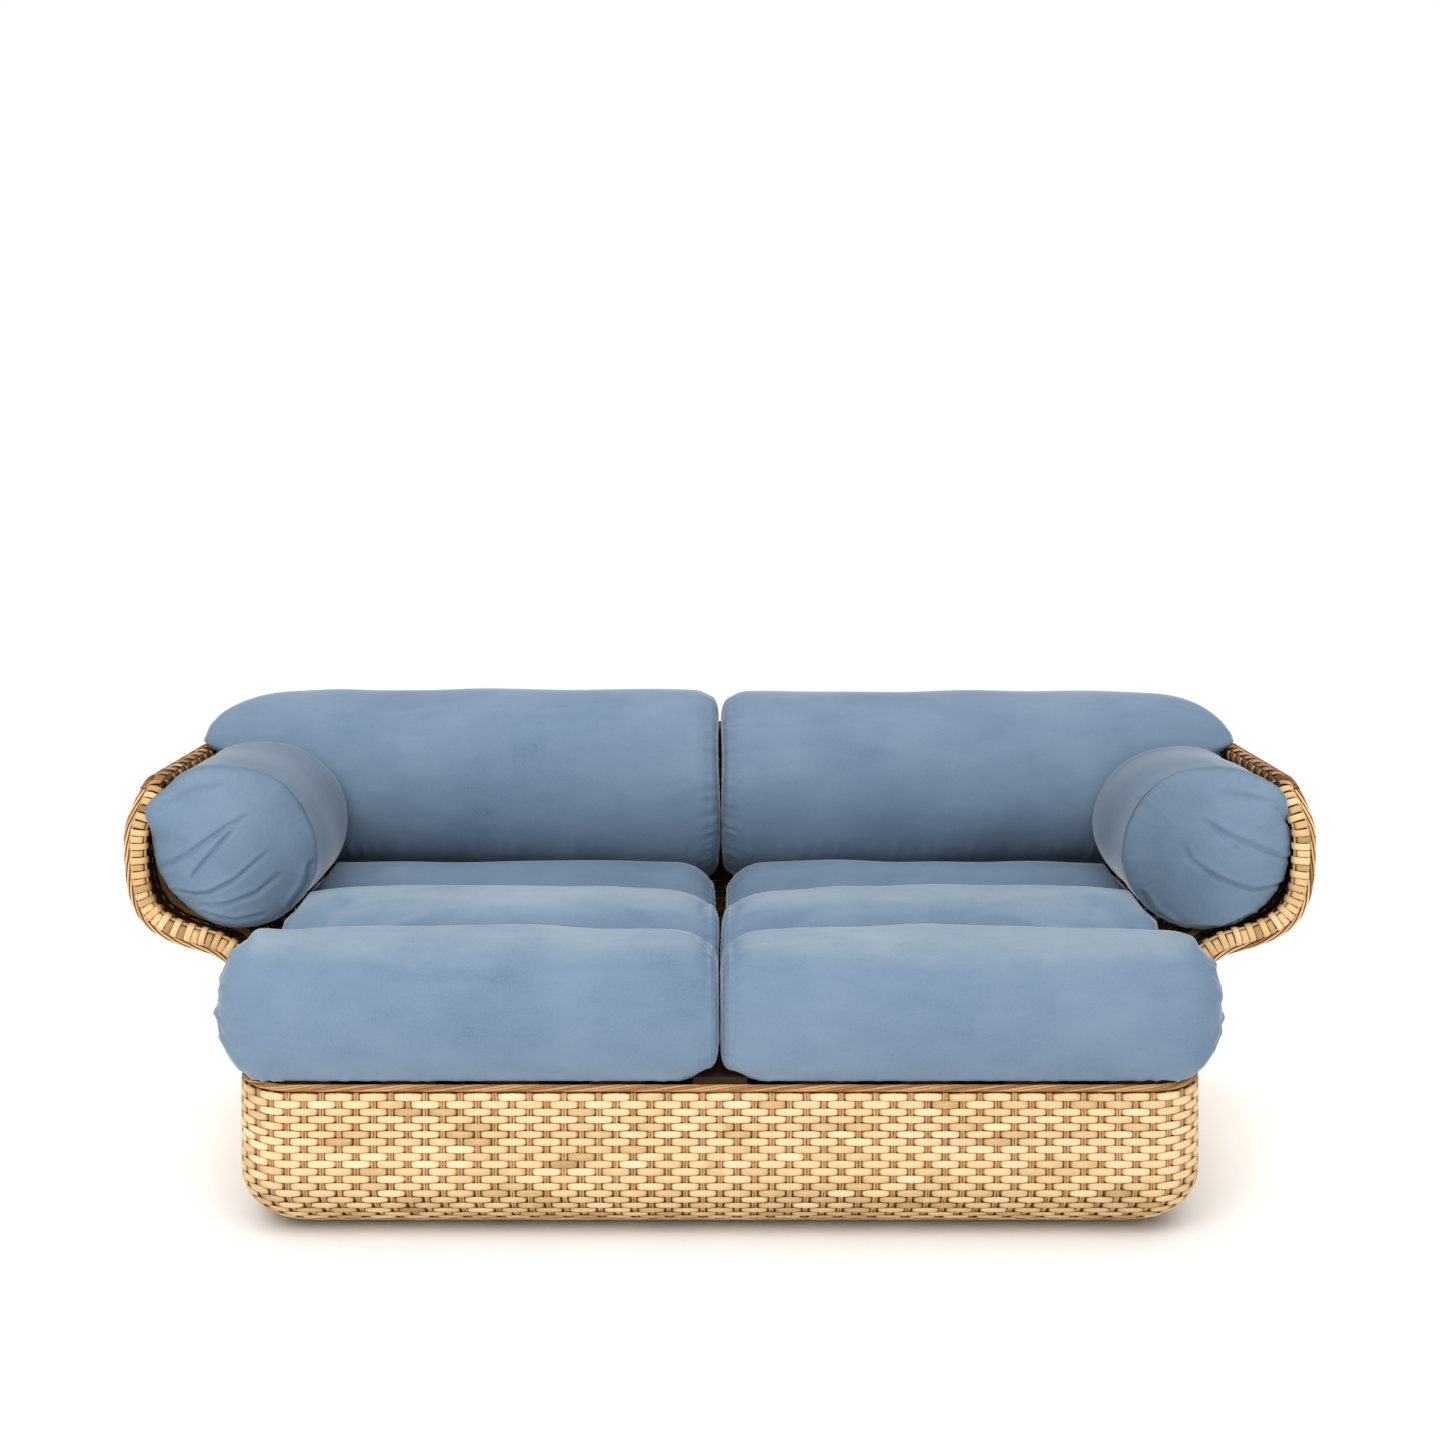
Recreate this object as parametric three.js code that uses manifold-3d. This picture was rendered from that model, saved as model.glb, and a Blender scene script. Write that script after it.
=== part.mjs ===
// A two-seat rattan sofa. A basket is woven on a frame of bent rattan poles: a low tub
// with a rounded foot, whose sides and back flare out to a ledge and turn up to a rim.
// Loose cushions lie in it: two seats of three sewn rolls, two back rolls, two arm bolsters.
// Millimetres, +Z up. The sitter faces -Y, and +X is on the right of someone looking at the front.
import * as THREE from "three";
import { mergeVertices } from "three/addons/utils/BufferGeometryUtils.js";
import Module from "manifold-3d";

const wasm = await Module();
wasm.setup();

// Running clearance between pieces that bear on each other, and the least distance between two corners
const touch = 0.3;
const weldDistance = 0.003;

// The tub, measured to the outside of its weave
const baseHalfWidth = 696;
const baseFront = 425;
const baseBack = 230;
const beltHeight = 222;
const frontCornerRadius = 90;
const rearCornerRadius = 110;
const cornerGrowthShare = 0.6;
const footRadius = 80;
const footFlange = 34;
const weaveThickness = 8;

// Low ribs on the outer face of the weave, one for every two woven rows
const rowRelief = 3;

// The flare of the arms and the back, measured outward from the tub and up from the belt
const ledgeReach = 100;
const ledgeRise = 129;
const ledgeEase = 52;
const ledgeRun = 88;
const ledgeSlopeShare = 0.25;
const wallReach = 215;
const wallRise = 156;
const rimLeanIn = 15;
const rimRise = 76;
const flareStartRise = 78;
const wallStartRise = 112;
const wallEndRise = 35;
const wallEndEase = 6;
const wallEndDrop = 30;

// The front edge of an arm, seen from the side
const armFront = 170;
const armSweepDepth = 115;
const armSweepRise = 130;
const armCornerRadius = 55;

// Poles and reeds
const rimDiameter = 22;
const rimProud = 0.5;
const borderDiameter = 10;
const hoopDiameter = 28;
const beltDiameter = 24;
const ribDiameter = 12;
const stretcherDiameter = 24;
const postDiameter = 24;

// Glides under the foot
const glideHeight = 5;
const glideDiameter = 44;
const glideChamfer = 1.5;

// Seat deck
const slatCount = 9;
const slatWidth = 78;
const slatThickness = 12;
const slatEdgeGap = 30;
const slatEndGap = 12;

// Seat cushions: a long front roll and two rolls behind it
const rollHalfGap = 3;
const frontRollRadius = 101;
const middleRollRadius = 105;
const rearRollRadius = 103;
const rollFlat = 2;
const frontRollOverhang = 20;
const frontRollOutreach = 30;
const seatEndGap = 8;
const seatToBackGap = 11;
const seatWallGap = 15;
const seatInnerFillet = 34;
const frontRollSquareness = 5;
const innerRollSquareness = 2.8;
const frontRollDome = 76;
const rearRollDome = 34;
const seatPadHeight = 92;
const seatPadInset = 34;
const rollCrown = 4;

// Back cushions
const backHalfGap = 3;
const backHalfDepth = 153;
const backHalfUp = 157;
const backHalfDown = 177;
const backCornerLift = 30;
const backInnerFillet = 38;
const backEndDome = 30;
const backTopDome = 118;
const backTopDrop = 96;
const backFrontCorner = 48;
const backRimGap = 4;

// Arm bolsters
const bolsterHalfWidth = 129;
const bolsterHalfUp = 134;
const bolsterWallGap = 4;
const bolsterHalfDown = 120;
const bolsterFrontOverhang = 34;
const bolsterDome = 48;
const bolsterRearFillet = 22;
const bolsterRearGap = 3;

// Facets
const cornerSteps = 6;
const flangeSteps = 1;
const footSteps = 5;
const flareSteps = [7, 7, 4];
const footRowSteps = 3;
const wallRowSteps = 11;
const flareRowSteps = [3, 3, 2];
const ringSides = 24;
const poleSides = 8;
const ribSides = 6;
const cutOverrun = 5;

const rattan = new THREE.MeshStandardMaterial({ color: 0xe2bf8b, roughness: 0.55, metalness: 0 });
const wrapped = new THREE.MeshStandardMaterial({ color: 0xcfa56c, roughness: 0.6, metalness: 0 });
const pole = new THREE.MeshStandardMaterial({ color: 0xb98a52, roughness: 0.55, metalness: 0 });
const slatWood = new THREE.MeshStandardMaterial({ color: 0xc8a878, roughness: 0.7, metalness: 0 });
const velvet = new THREE.MeshStandardMaterial({ color: 0x889db6, roughness: 0.9, metalness: 0 });
const glidePlastic = new THREE.MeshStandardMaterial({ color: 0x2c2a28, roughness: 0.6, metalness: 0 });

const sofa = new THREE.Group();
const whole = new THREE.Group();
sofa.add(whole);

function add(name, geometry, material) {
  const mesh = new THREE.Mesh(geometry, material);
  mesh.name = name;
  whole.add(mesh);
  return mesh;
}

// Solids from points

// Turns a shell of triangles so that its faces point outwards.
function facingOut(points, triangles) {
  let volume = 0;
  for (const [a, b, c] of triangles) {
    volume += points[a].dot(new THREE.Vector3().crossVectors(points[b], points[c]));
  }
  const turned = volume < 0 ? triangles.map(([a, b, c]) => [a, c, b]) : triangles;
  const geometry = new THREE.BufferGeometry().setFromPoints(points);
  geometry.setIndex(turned.flat());
  return geometry;
}

// A solid skinned over rings that have the same number of points, closed by a fan at each end.
function loft(rings, looped = false) {
  const size = rings[0].length;
  const points = rings.flat();
  const triangles = [];
  const last = looped ? rings.length : rings.length - 1;
  for (let i = 0; i < last; i++) {
    const here = i * size;
    const next = ((i + 1) % rings.length) * size;
    for (let k = 0; k < size; k++) {
      const m = (k + 1) % size;
      triangles.push([here + k, here + m, next + m], [here + k, next + m, next + k]);
    }
  }
  if (!looped) {
    const middle = (ring) => ring.reduce((sum, p) => sum.add(p), new THREE.Vector3()).divideScalar(size);
    const first = points.push(middle(rings[0])) - 1;
    const end = points.push(middle(rings[rings.length - 1])) - 1;
    const offset = (rings.length - 1) * size;
    for (let k = 0; k < size; k++) {
      const m = (k + 1) % size;
      triangles.push([first, m, k], [end, offset + k, offset + m]);
    }
  }
  return facingOut(points, triangles);
}

// Triangles between two rows of points that run side by side, given by their numbers.
function zipped(points, first, second) {
  const shares = (row) => {
    const ways = [0];
    for (let i = 1; i < row.length; i++) {
      ways.push(ways[i - 1] + points[row[i]].distanceTo(points[row[i - 1]]));
    }
    return ways.map((way) => way / ways[ways.length - 1]);
  };
  const [a, b] = [shares(first), shares(second)];
  const triangles = [];
  let i = 0;
  let j = 0;
  while (i < first.length - 1 || j < second.length - 1) {
    const onFirst = j === second.length - 1 || (i < first.length - 1 && a[i + 1] <= b[j + 1]);
    if (onFirst) triangles.push([first[i], first[++i], second[j]]);
    else triangles.push([first[i], second[++j], second[j - 1]]);
  }
  return triangles;
}

// A wall between two grids of points, outer and inner, that run along it and up it.
// Both have the same number of columns, and may have different numbers of rows.
function sheet(outer, inner, looped = false) {
  const columns = outer.length;
  const outerRows = outer[0].length;
  const innerRows = inner[0].length;
  const points = [...outer.flat(), ...inner.flat()];
  const out = (i, j) => (i % columns) * outerRows + j;
  const inn = (i, j) => columns * outerRows + (i % columns) * innerRows + j;
  const triangles = [];
  const quad = (a, b, c, d) => triangles.push([a, b, c], [a, c, d]);
  const last = looped ? columns : columns - 1;
  for (let i = 0; i < last; i++) {
    for (let j = 0; j < outerRows - 1; j++) {
      quad(out(i, j), out(i + 1, j), out(i + 1, j + 1), out(i, j + 1));
    }
    for (let j = 0; j < innerRows - 1; j++) {
      quad(inn(i, j), inn(i, j + 1), inn(i + 1, j + 1), inn(i + 1, j));
    }
    quad(out(i, 0), inn(i, 0), inn(i + 1, 0), out(i + 1, 0));
    const [top, innerTop] = [outerRows - 1, innerRows - 1];
    quad(out(i, top), out(i + 1, top), inn(i + 1, innerTop), inn(i, innerTop));
  }
  if (!looped) {
    const column = (number, rows, i) => Array.from({ length: rows }, (_, j) => number(i, j));
    const start = zipped(points, column(out, outerRows, 0), column(inn, innerRows, 0));
    const end = zipped(points, column(out, outerRows, last), column(inn, innerRows, last));
    triangles.push(...start, ...end.map(([a, b, c]) => [a, c, b]));
  }
  return facingOut(points, triangles);
}

// A pole along a row of points. Its first corner lies along the given normal, carried without twist.
// Where an end has a direction of its own, it is cut square to that.
function tube(path, radius, sides, normal, startAlong = null, endAlong = null) {
  let across = normal.clone();
  const rings = path.map((p, i) => {
    const ahead = path[Math.min(i + 1, path.length - 1)];
    const behind = path[Math.max(i - 1, 0)];
    const along = ahead.clone().sub(behind).normalize();
    if (i === 0 && startAlong) along.copy(startAlong);
    if (i === path.length - 1 && endAlong) along.copy(endAlong);
    across = across.addScaledVector(along, -across.dot(along)).normalize();
    const third = new THREE.Vector3().crossVectors(along, across);
    const turn = (2 * Math.PI) / sides;
    return Array.from({ length: sides }, (_, k) =>
      p
        .clone()
        .addScaledVector(across, radius * Math.cos(k * turn))
        .addScaledVector(third, radius * Math.sin(k * turn)),
    );
  });
  return loft(rings);
}

// A flat frame with rounded corners and the rounded section of a pole, at a distance in from the wall.
function hoop(inset, diameter) {
  const flat = diameter * Math.tan(Math.PI / 8);
  const bevel = (diameter - flat) / 2;
  const shape = new THREE.Shape(tubPlan(-inset + flat / 2));
  shape.holes.push(new THREE.Path(tubPlan(-inset - flat / 2)));
  const geometry = new THREE.ExtrudeGeometry(shape, {
    depth: flat,
    bevelEnabled: true,
    bevelThickness: bevel,
    bevelSize: bevel,
    bevelSegments: 1,
    steps: 1,
  });
  return geometry.translate(0, 0, -flat / 2);
}

// The plan of the basket. An offset is measured outward from the outside of the tub's wall.

const cornerRadius = (radius, out) => radius + cornerGrowthShare * out;

// Points round one corner, from one straight run to the next.
function cornerPlan(signX, signY, out) {
  const radius = cornerRadius(signY > 0 ? rearCornerRadius : frontCornerRadius, out);
  const x = baseHalfWidth + out - radius;
  const y = (signY > 0 ? baseBack : baseFront) + out - radius;
  return Array.from({ length: cornerSteps + 1 }, (_, k) => {
    const angle = (k / cornerSteps) * (Math.PI / 2);
    return new THREE.Vector2(signX * (x + radius * Math.cos(angle)), signY * (y + radius * Math.sin(angle)));
  });
}

// The tub all the way round, from the right front corner, counter-clockwise.
function tubPlan(out) {
  return [
    ...cornerPlan(1, -1, out).reverse(),
    ...cornerPlan(1, 1, out),
    ...cornerPlan(-1, 1, out).reverse(),
    ...cornerPlan(-1, -1, out),
  ];
}

// The two rear corners and the back, from left to right.
function rearPlan(out) {
  return [...cornerPlan(-1, 1, out), ...cornerPlan(1, 1, out).reverse()];
}

// Profiles of the wall. Each sample holds its offset and height, the way in, and its distance along.

function sampled(curves, steps) {
  const samples = [];
  let travelled = 0;
  curves.forEach((curve, c) => {
    for (let k = c === 0 ? 0 : 1; k <= steps[c]; k++) {
      const share = k / steps[c];
      const tangent = curve.getTangentAt(share);
      samples.push({
        at: curve.getPointAt(share),
        inward: new THREE.Vector2(-tangent.y, tangent.x),
        along: tangent,
        distance: travelled + share * curve.getLength(),
      });
    }
    travelled += curve.getLength();
  });
  return samples;
}

// The point at a depth inside the outer face, as an offset and a height.
const deeper = (sample, depth) => sample.at.clone().addScaledVector(sample.inward, depth);

// The sample at any distance along a profile, carried on straight past its end.
function profileAt(samples, distance) {
  const upper = Math.max(1, samples.findIndex((s) => s.distance >= distance));
  const end = samples[samples.length - 1];
  if (distance > end.distance) {
    return { ...end, at: end.at.clone().addScaledVector(end.along, distance - end.distance), distance };
  }
  const [a, b] = [samples[upper - 1], samples[upper]];
  const share = (distance - a.distance) / (b.distance - a.distance);
  return {
    at: a.at.clone().lerp(b.at, share),
    inward: a.inward.clone().lerp(b.inward, share).normalize(),
    along: a.along.clone().lerp(b.along, share).normalize(),
    distance,
  };
}

const v2 = (x, y) => new THREE.Vector2(x, y);
const wallTop = beltHeight - rimDiameter - 2 * touch;
const ledgeHeight = beltHeight + ledgeRise;
const wallHeight = ledgeHeight + wallRise;
const skinTop = wallHeight + rimRise;
const rimReach = wallReach - rimLeanIn;
const flareFoot = wallTop + touch;

// Under the foot, round it and up to the belt.
const tubProfile = sampled(
  [
    new THREE.LineCurve(v2(-footRadius - footFlange, glideHeight), v2(-footRadius, glideHeight)),
    new THREE.EllipseCurve(
      -footRadius, glideHeight + footRadius, footRadius, footRadius, -Math.PI / 2, 0,
    ),
    new THREE.LineCurve(v2(0, glideHeight + footRadius), v2(0, wallTop)),
  ],
  [flangeSteps, footSteps, 1],
);

// From the belt out to the ledge, along it, and up the wall to the rim.
const flareProfile = sampled(
  [
    new THREE.CubicBezierCurve(
      v2(0, flareFoot),
      v2(0, flareFoot + flareStartRise),
      v2(ledgeReach - ledgeEase, ledgeHeight - ledgeSlopeShare * ledgeEase),
      v2(ledgeReach, ledgeHeight),
    ),
    new THREE.CubicBezierCurve(
      v2(ledgeReach, ledgeHeight),
      v2(ledgeReach + ledgeRun, ledgeHeight + ledgeSlopeShare * ledgeRun),
      v2(wallReach, wallHeight - wallStartRise),
      v2(wallReach, wallHeight),
    ),
    new THREE.CubicBezierCurve(
      v2(wallReach, wallHeight),
      v2(wallReach, wallHeight + wallEndRise),
      v2(rimReach + wallEndEase, skinTop - wallEndDrop),
      v2(rimReach, skinTop),
    ),
  ],
  flareSteps,
);
const flareLength = flareProfile[flareProfile.length - 1].distance;

// How far forward the weave of an arm reaches at each distance up the flare.
function weaveFront(distance) {
  if (distance < armSweepRise) {
    const left = 1 - distance / armSweepRise;
    return armFront + armSweepDepth * (1 - Math.sqrt(1 - left * left));
  }
  const past = Math.max(0, distance - (flareLength - armCornerRadius));
  return armFront - armCornerRadius + Math.sqrt(armCornerRadius ** 2 - past ** 2);
}

// Weaves

// The outer face of a wall in rows that stand out and draw in by turns. Each step of the profile
// is cut into its own number of rows, so that the rows keep to its line.
function ribbedRows(samples, rowSteps) {
  const rows = [];
  samples.slice(1).forEach((sample, i) => {
    const from = samples[i].distance;
    for (let k = rows.length === 0 ? 0 : 1; k <= rowSteps[i]; k++) {
      const distance = from + (k / rowSteps[i]) * (sample.distance - from);
      rows.push({ ...profileAt(samples, distance), distance });
    }
  });
  const flat = rowSteps.findIndex((steps) => steps > 1);
  return rows.map((row, j) => ({ ...row, depth: j > flat && (j - flat) % 2 === 1 ? rowRelief : 0 }));
}

// The inner face of a wall, a thickness inside the profile.
const innerRows = (samples) => samples.map((sample) => ({ ...sample, depth: weaveThickness }));

// A grid of points, column by column, from the places where the wall stands at each row's offset.
function wallGrid(rows, place) {
  const lines = rows.map((row) => {
    const p = deeper(row, row.depth);
    return place(p.x, row.distance).map((q) => new THREE.Vector3(q.x, q.y, p.y));
  });
  return lines[0].map((_, i) => lines.map((line) => line[i]));
}

const repeated = (count, value) => Array.from({ length: count }, () => value);
const tubRowSteps = [...repeated(flangeSteps, 1), ...repeated(footSteps, footRowSteps), wallRowSteps];
const shellRowSteps = flareSteps.flatMap((steps, i) => repeated(steps, flareRowSteps[i]));

// The front edge of an arm between the samples of its profile, which the rim follows too.
function edgeReach(distance) {
  const upper = Math.max(1, flareProfile.findIndex((s) => s.distance >= distance));
  const [a, b] = [flareProfile[upper - 1], flareProfile[upper]];
  const share = (distance - a.distance) / (b.distance - a.distance);
  return THREE.MathUtils.lerp(weaveFront(a.distance), weaveFront(b.distance), share);
}

function tubWeave() {
  const outer = wallGrid(ribbedRows(tubProfile, tubRowSteps), tubPlan);
  return sheet(outer, wallGrid(innerRows(tubProfile), tubPlan), true);
}

function armWeave(side) {
  const place = (out, distance) => {
    const x = side * (baseHalfWidth + out);
    return [v2(x, -edgeReach(distance)), v2(x, cornerPlan(1, 1, out)[0].y - touch / 2)];
  };
  const outer = wallGrid(ribbedRows(flareProfile, shellRowSteps), place);
  return sheet(outer, wallGrid(innerRows(flareProfile), place));
}

function backWeave() {
  const place = (out) => {
    const plan = rearPlan(out);
    plan[0].y += touch / 2;
    plan[plan.length - 1].y += touch / 2;
    return plan;
  };
  const outer = wallGrid(ribbedRows(flareProfile, shellRowSteps), place);
  return sheet(outer, wallGrid(innerRows(flareProfile), place));
}

add("base_weave", tubWeave(), rattan);
add("left_arm_weave", armWeave(-1), rattan);
add("right_arm_weave", armWeave(1), rattan);
add("back_weave", backWeave(), rattan);

// Rim poles and their plaited border

const rimRadius = rimDiameter / 2;
const rimDepth = rimRadius - rimProud;
const borderDepth = -(rimProud + touch + borderDiameter / 2);

// The line of the rim in the surface of an arm, a rim radius outside the edge of its weave.
// Each point is a distance up the flare and a reach to the front.
function armEdge() {
  const line = flareProfile.map((s) => v2(s.distance, weaveFront(s.distance)));
  const sideways = (a, b) => {
    const along = b.clone().sub(a).normalize();
    return v2(-along.y, along.x);
  };
  return line.map((p, i) => {
    const before = i === 0 ? v2(1, 0) : sideways(line[i - 1], p);
    const after = i === line.length - 1 ? v2(1, 0) : sideways(p, line[i + 1]);
    const way = before.clone().add(after).normalize();
    return p.clone().addScaledVector(way, (rimRadius + touch) / way.dot(before));
  });
}

// The rim of one arm, up its front edge and back along its top, at a depth inside the outer face.
function armRimPath(side, depth) {
  const up = armEdge().map((p) => {
    const q = deeper(profileAt(flareProfile, p.x), depth);
    return new THREE.Vector3(side * (baseHalfWidth + q.x), -p.y, q.y);
  });
  const last = up[up.length - 1];
  const rear = cornerPlan(1, 1, Math.abs(last.x) - baseHalfWidth)[0].y - touch / 2;
  return [...up, last.clone().setY(rear)];
}

function backRimPath(depth) {
  const top = deeper(profileAt(flareProfile, flareLength + rimRadius + touch), depth);
  const plan = rearPlan(top.x);
  plan[0].y += touch / 2;
  plan[plan.length - 1].y += touch / 2;
  return plan.map((q) => new THREE.Vector3(q.x, q.y, top.y));
}

const upward = new THREE.Vector3(0, 0, 1);
const forward = new THREE.Vector3(0, -1, 0);
const backward = new THREE.Vector3(0, 1, 0);
const borderRadius = borderDiameter / 2;
for (const [side, label] of [[-1, "left"], [1, "right"]]) {
  const rim = tube(armRimPath(side, rimDepth), rimRadius, poleSides, upward, backward, backward);
  const border = tube(armRimPath(side, borderDepth), borderRadius, ribSides, upward, backward, backward);
  add(`${label}_rim`, rim, wrapped);
  add(`${label}_border`, border, wrapped);
}
const backRim = tube(backRimPath(rimDepth), rimRadius, poleSides, upward, backward, forward);
const backBorder = tube(backRimPath(borderDepth), borderRadius, ribSides, upward, backward, forward);
add("back_rim", backRim, wrapped);
add("back_border", backBorder, wrapped);

// The front rim lies on the tub's wall between the feet of the two arm rims.
function frontRimPath() {
  const height = flareFoot + rimRadius + touch;
  const foot = armEdge()[0].y + touch;
  const right = [v2(baseHalfWidth - rimDepth, -foot), ...cornerPlan(1, -1, -rimDepth)];
  const left = right.map((p) => v2(-p.x, p.y)).reverse();
  return [...right, ...left].map((q) => new THREE.Vector3(q.x, q.y, height));
}
add("front_rim", tube(frontRimPath(), rimRadius, poleSides, upward, forward, backward), wrapped);

// Hoops of the tub

const hoopInset = footRadius + hoopDiameter / 2 + touch;
const hoopHeight = glideHeight + weaveThickness + touch + hoopDiameter / 2;
const floorHoop = hoop(hoopInset, hoopDiameter);
floorHoop.translate(0, 0, hoopHeight);
add("floor_hoop", floorHoop, pole);

const slatTop = beltHeight;
const beltInset = weaveThickness + touch + ribDiameter + touch + beltDiameter / 2;
const beltHoopHeight = slatTop - slatThickness - touch - beltDiameter / 2;
const beltHoop = hoop(beltInset, beltDiameter);
beltHoop.translate(0, 0, beltHoopHeight);
add("belt_hoop", beltHoop, pole);

// Ribs follow the inside of the weave from the floor hoop up

const ribDepth = weaveThickness + touch + ribDiameter / 2;

// A rib given where the wall stands at each offset, up to the belt or on up to the rim.
function rib(name, place, tall) {
  const lower = tubProfile.slice(flangeSteps);
  const samples = tall ? [...lower.slice(0, -1), ...flareProfile] : lower;
  const path = samples.map((s) => {
    const p = deeper(s, ribDepth);
    const q = place(p.x);
    return new THREE.Vector3(q.x, q.y, p.y);
  });
  const inward = place(-ribDepth).sub(place(0)).normalize();
  const footWay = new THREE.Vector3(-inward.x, -inward.y, 0);
  add(name, tube(path, ribDiameter / 2, ribSides, upward, footWay), pole);
}

const sideRibShares = [0.25, 0.78];
const backRibShares = [-0.75, -0.25, 0.25, 0.75];
const frontRibShares = [-0.84, -0.42, 0, 0.42, 0.84];
const sideStraight = baseBack - rearCornerRadius + armFront;
const backStraight = baseHalfWidth - rearCornerRadius;
const frontStraight = baseHalfWidth - frontCornerRadius;
const cornerMiddle = cornerSteps / 2;
for (const [side, label] of [[-1, "left"], [1, "right"]]) {
  sideRibShares.forEach((share, k) => {
    const y = -armFront + share * sideStraight;
    rib(`${label}_arm_rib_${k + 1}`, (out) => v2(side * (baseHalfWidth + out), y), true);
  });
  rib(`${label}_rear_corner_rib`, (out) => cornerPlan(side, 1, out)[cornerMiddle], true);
  rib(`${label}_front_corner_rib`, (out) => cornerPlan(side, -1, out)[cornerMiddle], false);
}
backRibShares.forEach((share, k) => {
  rib(`back_rib_${k + 1}`, (out) => v2(share * backStraight, baseBack + out), true);
});
frontRibShares.forEach((share, k) => {
  rib(`front_rib_${k + 1}`, (out) => v2(share * frontStraight, -baseFront - out), false);
});

// Stretchers across the floor hoop, posts on them, and the rail that the posts carry

const stretcherShares = [-0.6, 0, 0.6];
const stretcherFront = -baseFront + hoopInset + hoopDiameter / 2 + touch;
const stretcherBack = baseBack - hoopInset - hoopDiameter / 2 - touch;
const stretcherHeight = hoopHeight;
const railHeight = slatTop - slatThickness - touch - stretcherDiameter / 2;
const railY = (stretcherFront + stretcherBack) / 2;
stretcherShares.forEach((share, k) => {
  const x = share * backStraight;
  const ends = [stretcherFront, stretcherBack].map((y) => new THREE.Vector3(x, y, stretcherHeight));
  add(`floor_stretcher_${k + 1}`, tube(ends, stretcherDiameter / 2, poleSides, upward), pole);
  const foot = stretcherHeight + stretcherDiameter / 2 + touch;
  const head = railHeight - stretcherDiameter / 2 - touch;
  const post = [foot, head].map((z) => new THREE.Vector3(x, railY, z));
  add(`post_${k + 1}`, tube(post, postDiameter / 2, poleSides, forward), pole);
});
const railEnd = baseHalfWidth - beltInset - beltDiameter / 2 - touch;
const railEnds = [-railEnd, railEnd].map((x) => new THREE.Vector3(x, railY, railHeight));
add("centre_rail", tube(railEnds, stretcherDiameter / 2, poleSides, upward), pole);

// Slats lie on the belt hoop and the rail

const slatSpan = 2 * (baseHalfWidth - beltInset - slatEdgeGap) - slatWidth;
const slatReach = beltInset - beltDiameter / 2 + touch + slatEndGap;
const slatLength = baseFront + baseBack - 2 * slatReach;
for (let k = 0; k < slatCount; k++) {
  const slat = new THREE.BoxGeometry(slatWidth, slatLength, slatThickness);
  const x = -slatSpan / 2 + (k / (slatCount - 1)) * slatSpan;
  slat.translate(x, (baseBack - baseFront) / 2, slatTop - slatThickness / 2);
  add(`slat_${k + 1}`, slat, slatWood);
}

// Glides screwed up through the foot into the floor hoop

function glide(name, x, y) {
  const radius = glideDiameter / 2;
  const outline = [
    v2(0, 0),
    v2(radius - glideChamfer, 0),
    v2(radius, glideChamfer),
    v2(radius, glideHeight - touch),
    v2(0, glideHeight - touch),
  ];
  const disc = new THREE.LatheGeometry(outline, 2 * poleSides);
  disc.rotateX(Math.PI / 2);
  disc.translate(x, y, 0);
  add(name, disc, glidePlastic);
}
const glideX = baseHalfWidth - hoopInset - rearCornerRadius;
let glideNumber = 0;
for (const y of [hoopInset - baseFront, baseBack - hoopInset]) {
  for (const x of [-glideX, 0, glideX]) glide(`glide_${++glideNumber}`, x, y);
}

// Cushions

// Stations along a roll, dense where its ends turn in. Its start is rounded over at the edge by a fillet,
// its end is domed down to a small tip, and its girth swells towards the middle.
const endSteps = 5;
const tipShare = 0.14;
const cornerStation = endSteps + 1;
function rollStations(start, end, filletDepth, domeDepth) {
  const turn = (k) => (k / endSteps) * (Math.PI / 2);
  const steps = Array.from({ length: endSteps + 1 }, (_, k) => k);
  const rounded = steps.map((k) => ({
    at: start + filletDepth * (1 - Math.cos(turn(k))),
    fillet: filletDepth * (1 - Math.sin(turn(k))),
    dome: 1,
  }));
  const domed = steps.reverse().map((k) => ({
    at: end - domeDepth * (1 - Math.cos(turn(k))),
    fillet: 0,
    dome: Math.max(Math.sin(turn(k)), tipShare),
  }));
  const halfway = { at: (start + filletDepth + end - domeDepth) / 2, fillet: 0, dome: 1 };
  const middle = (start + end) / 2;
  const half = (end - start) / 2;
  return [...rounded, halfway, ...domed].map((s) => ({
    ...s,
    crown: rollCrown * ((s.at - middle) / half) ** 2,
  }));
}

// A roll that lies along X, from the middle of the sofa outwards. Its top is round. Its underside is
// pressed flat on its floor, the more the higher its squareness, where 2 is round, but less at its tip.
function seatRoll(radius, y, end, dome, squareness) {
  const floor = slatTop + touch;
  const centre = floor + radius - rollFlat;
  const rings = rollStations(rollHalfGap, end, seatInnerFillet, dome).map((s) => {
    const r = (radius - s.fillet - s.crown) * s.dome;
    return Array.from({ length: ringSides }, (_, k) => {
      const angle = (2 * Math.PI * k) / ringSides;
      const power = angle > Math.PI ? 1 + (2 / squareness - 1) * s.dome : 1;
      const across = Math.sign(Math.cos(angle)) * Math.abs(Math.cos(angle)) ** power;
      const up = Math.sign(Math.sin(angle)) * Math.abs(Math.sin(angle)) ** power;
      return new THREE.Vector3(s.at, y + r * across, Math.max(floor, centre + r * up));
    });
  });
  return loft(rings);
}

// Booleans

function solid(geometry) {
  const bare = geometry.clone();
  bare.deleteAttribute("normal");
  bare.deleteAttribute("uv");
  const merged = mergeVertices(bare, weldDistance);
  const mesh = new wasm.Mesh({
    numProp: 3,
    vertProperties: new Float32Array(merged.attributes.position.array),
    triVerts: new Uint32Array(merged.index.array),
  });
  return new wasm.Manifold(mesh);
}

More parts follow.
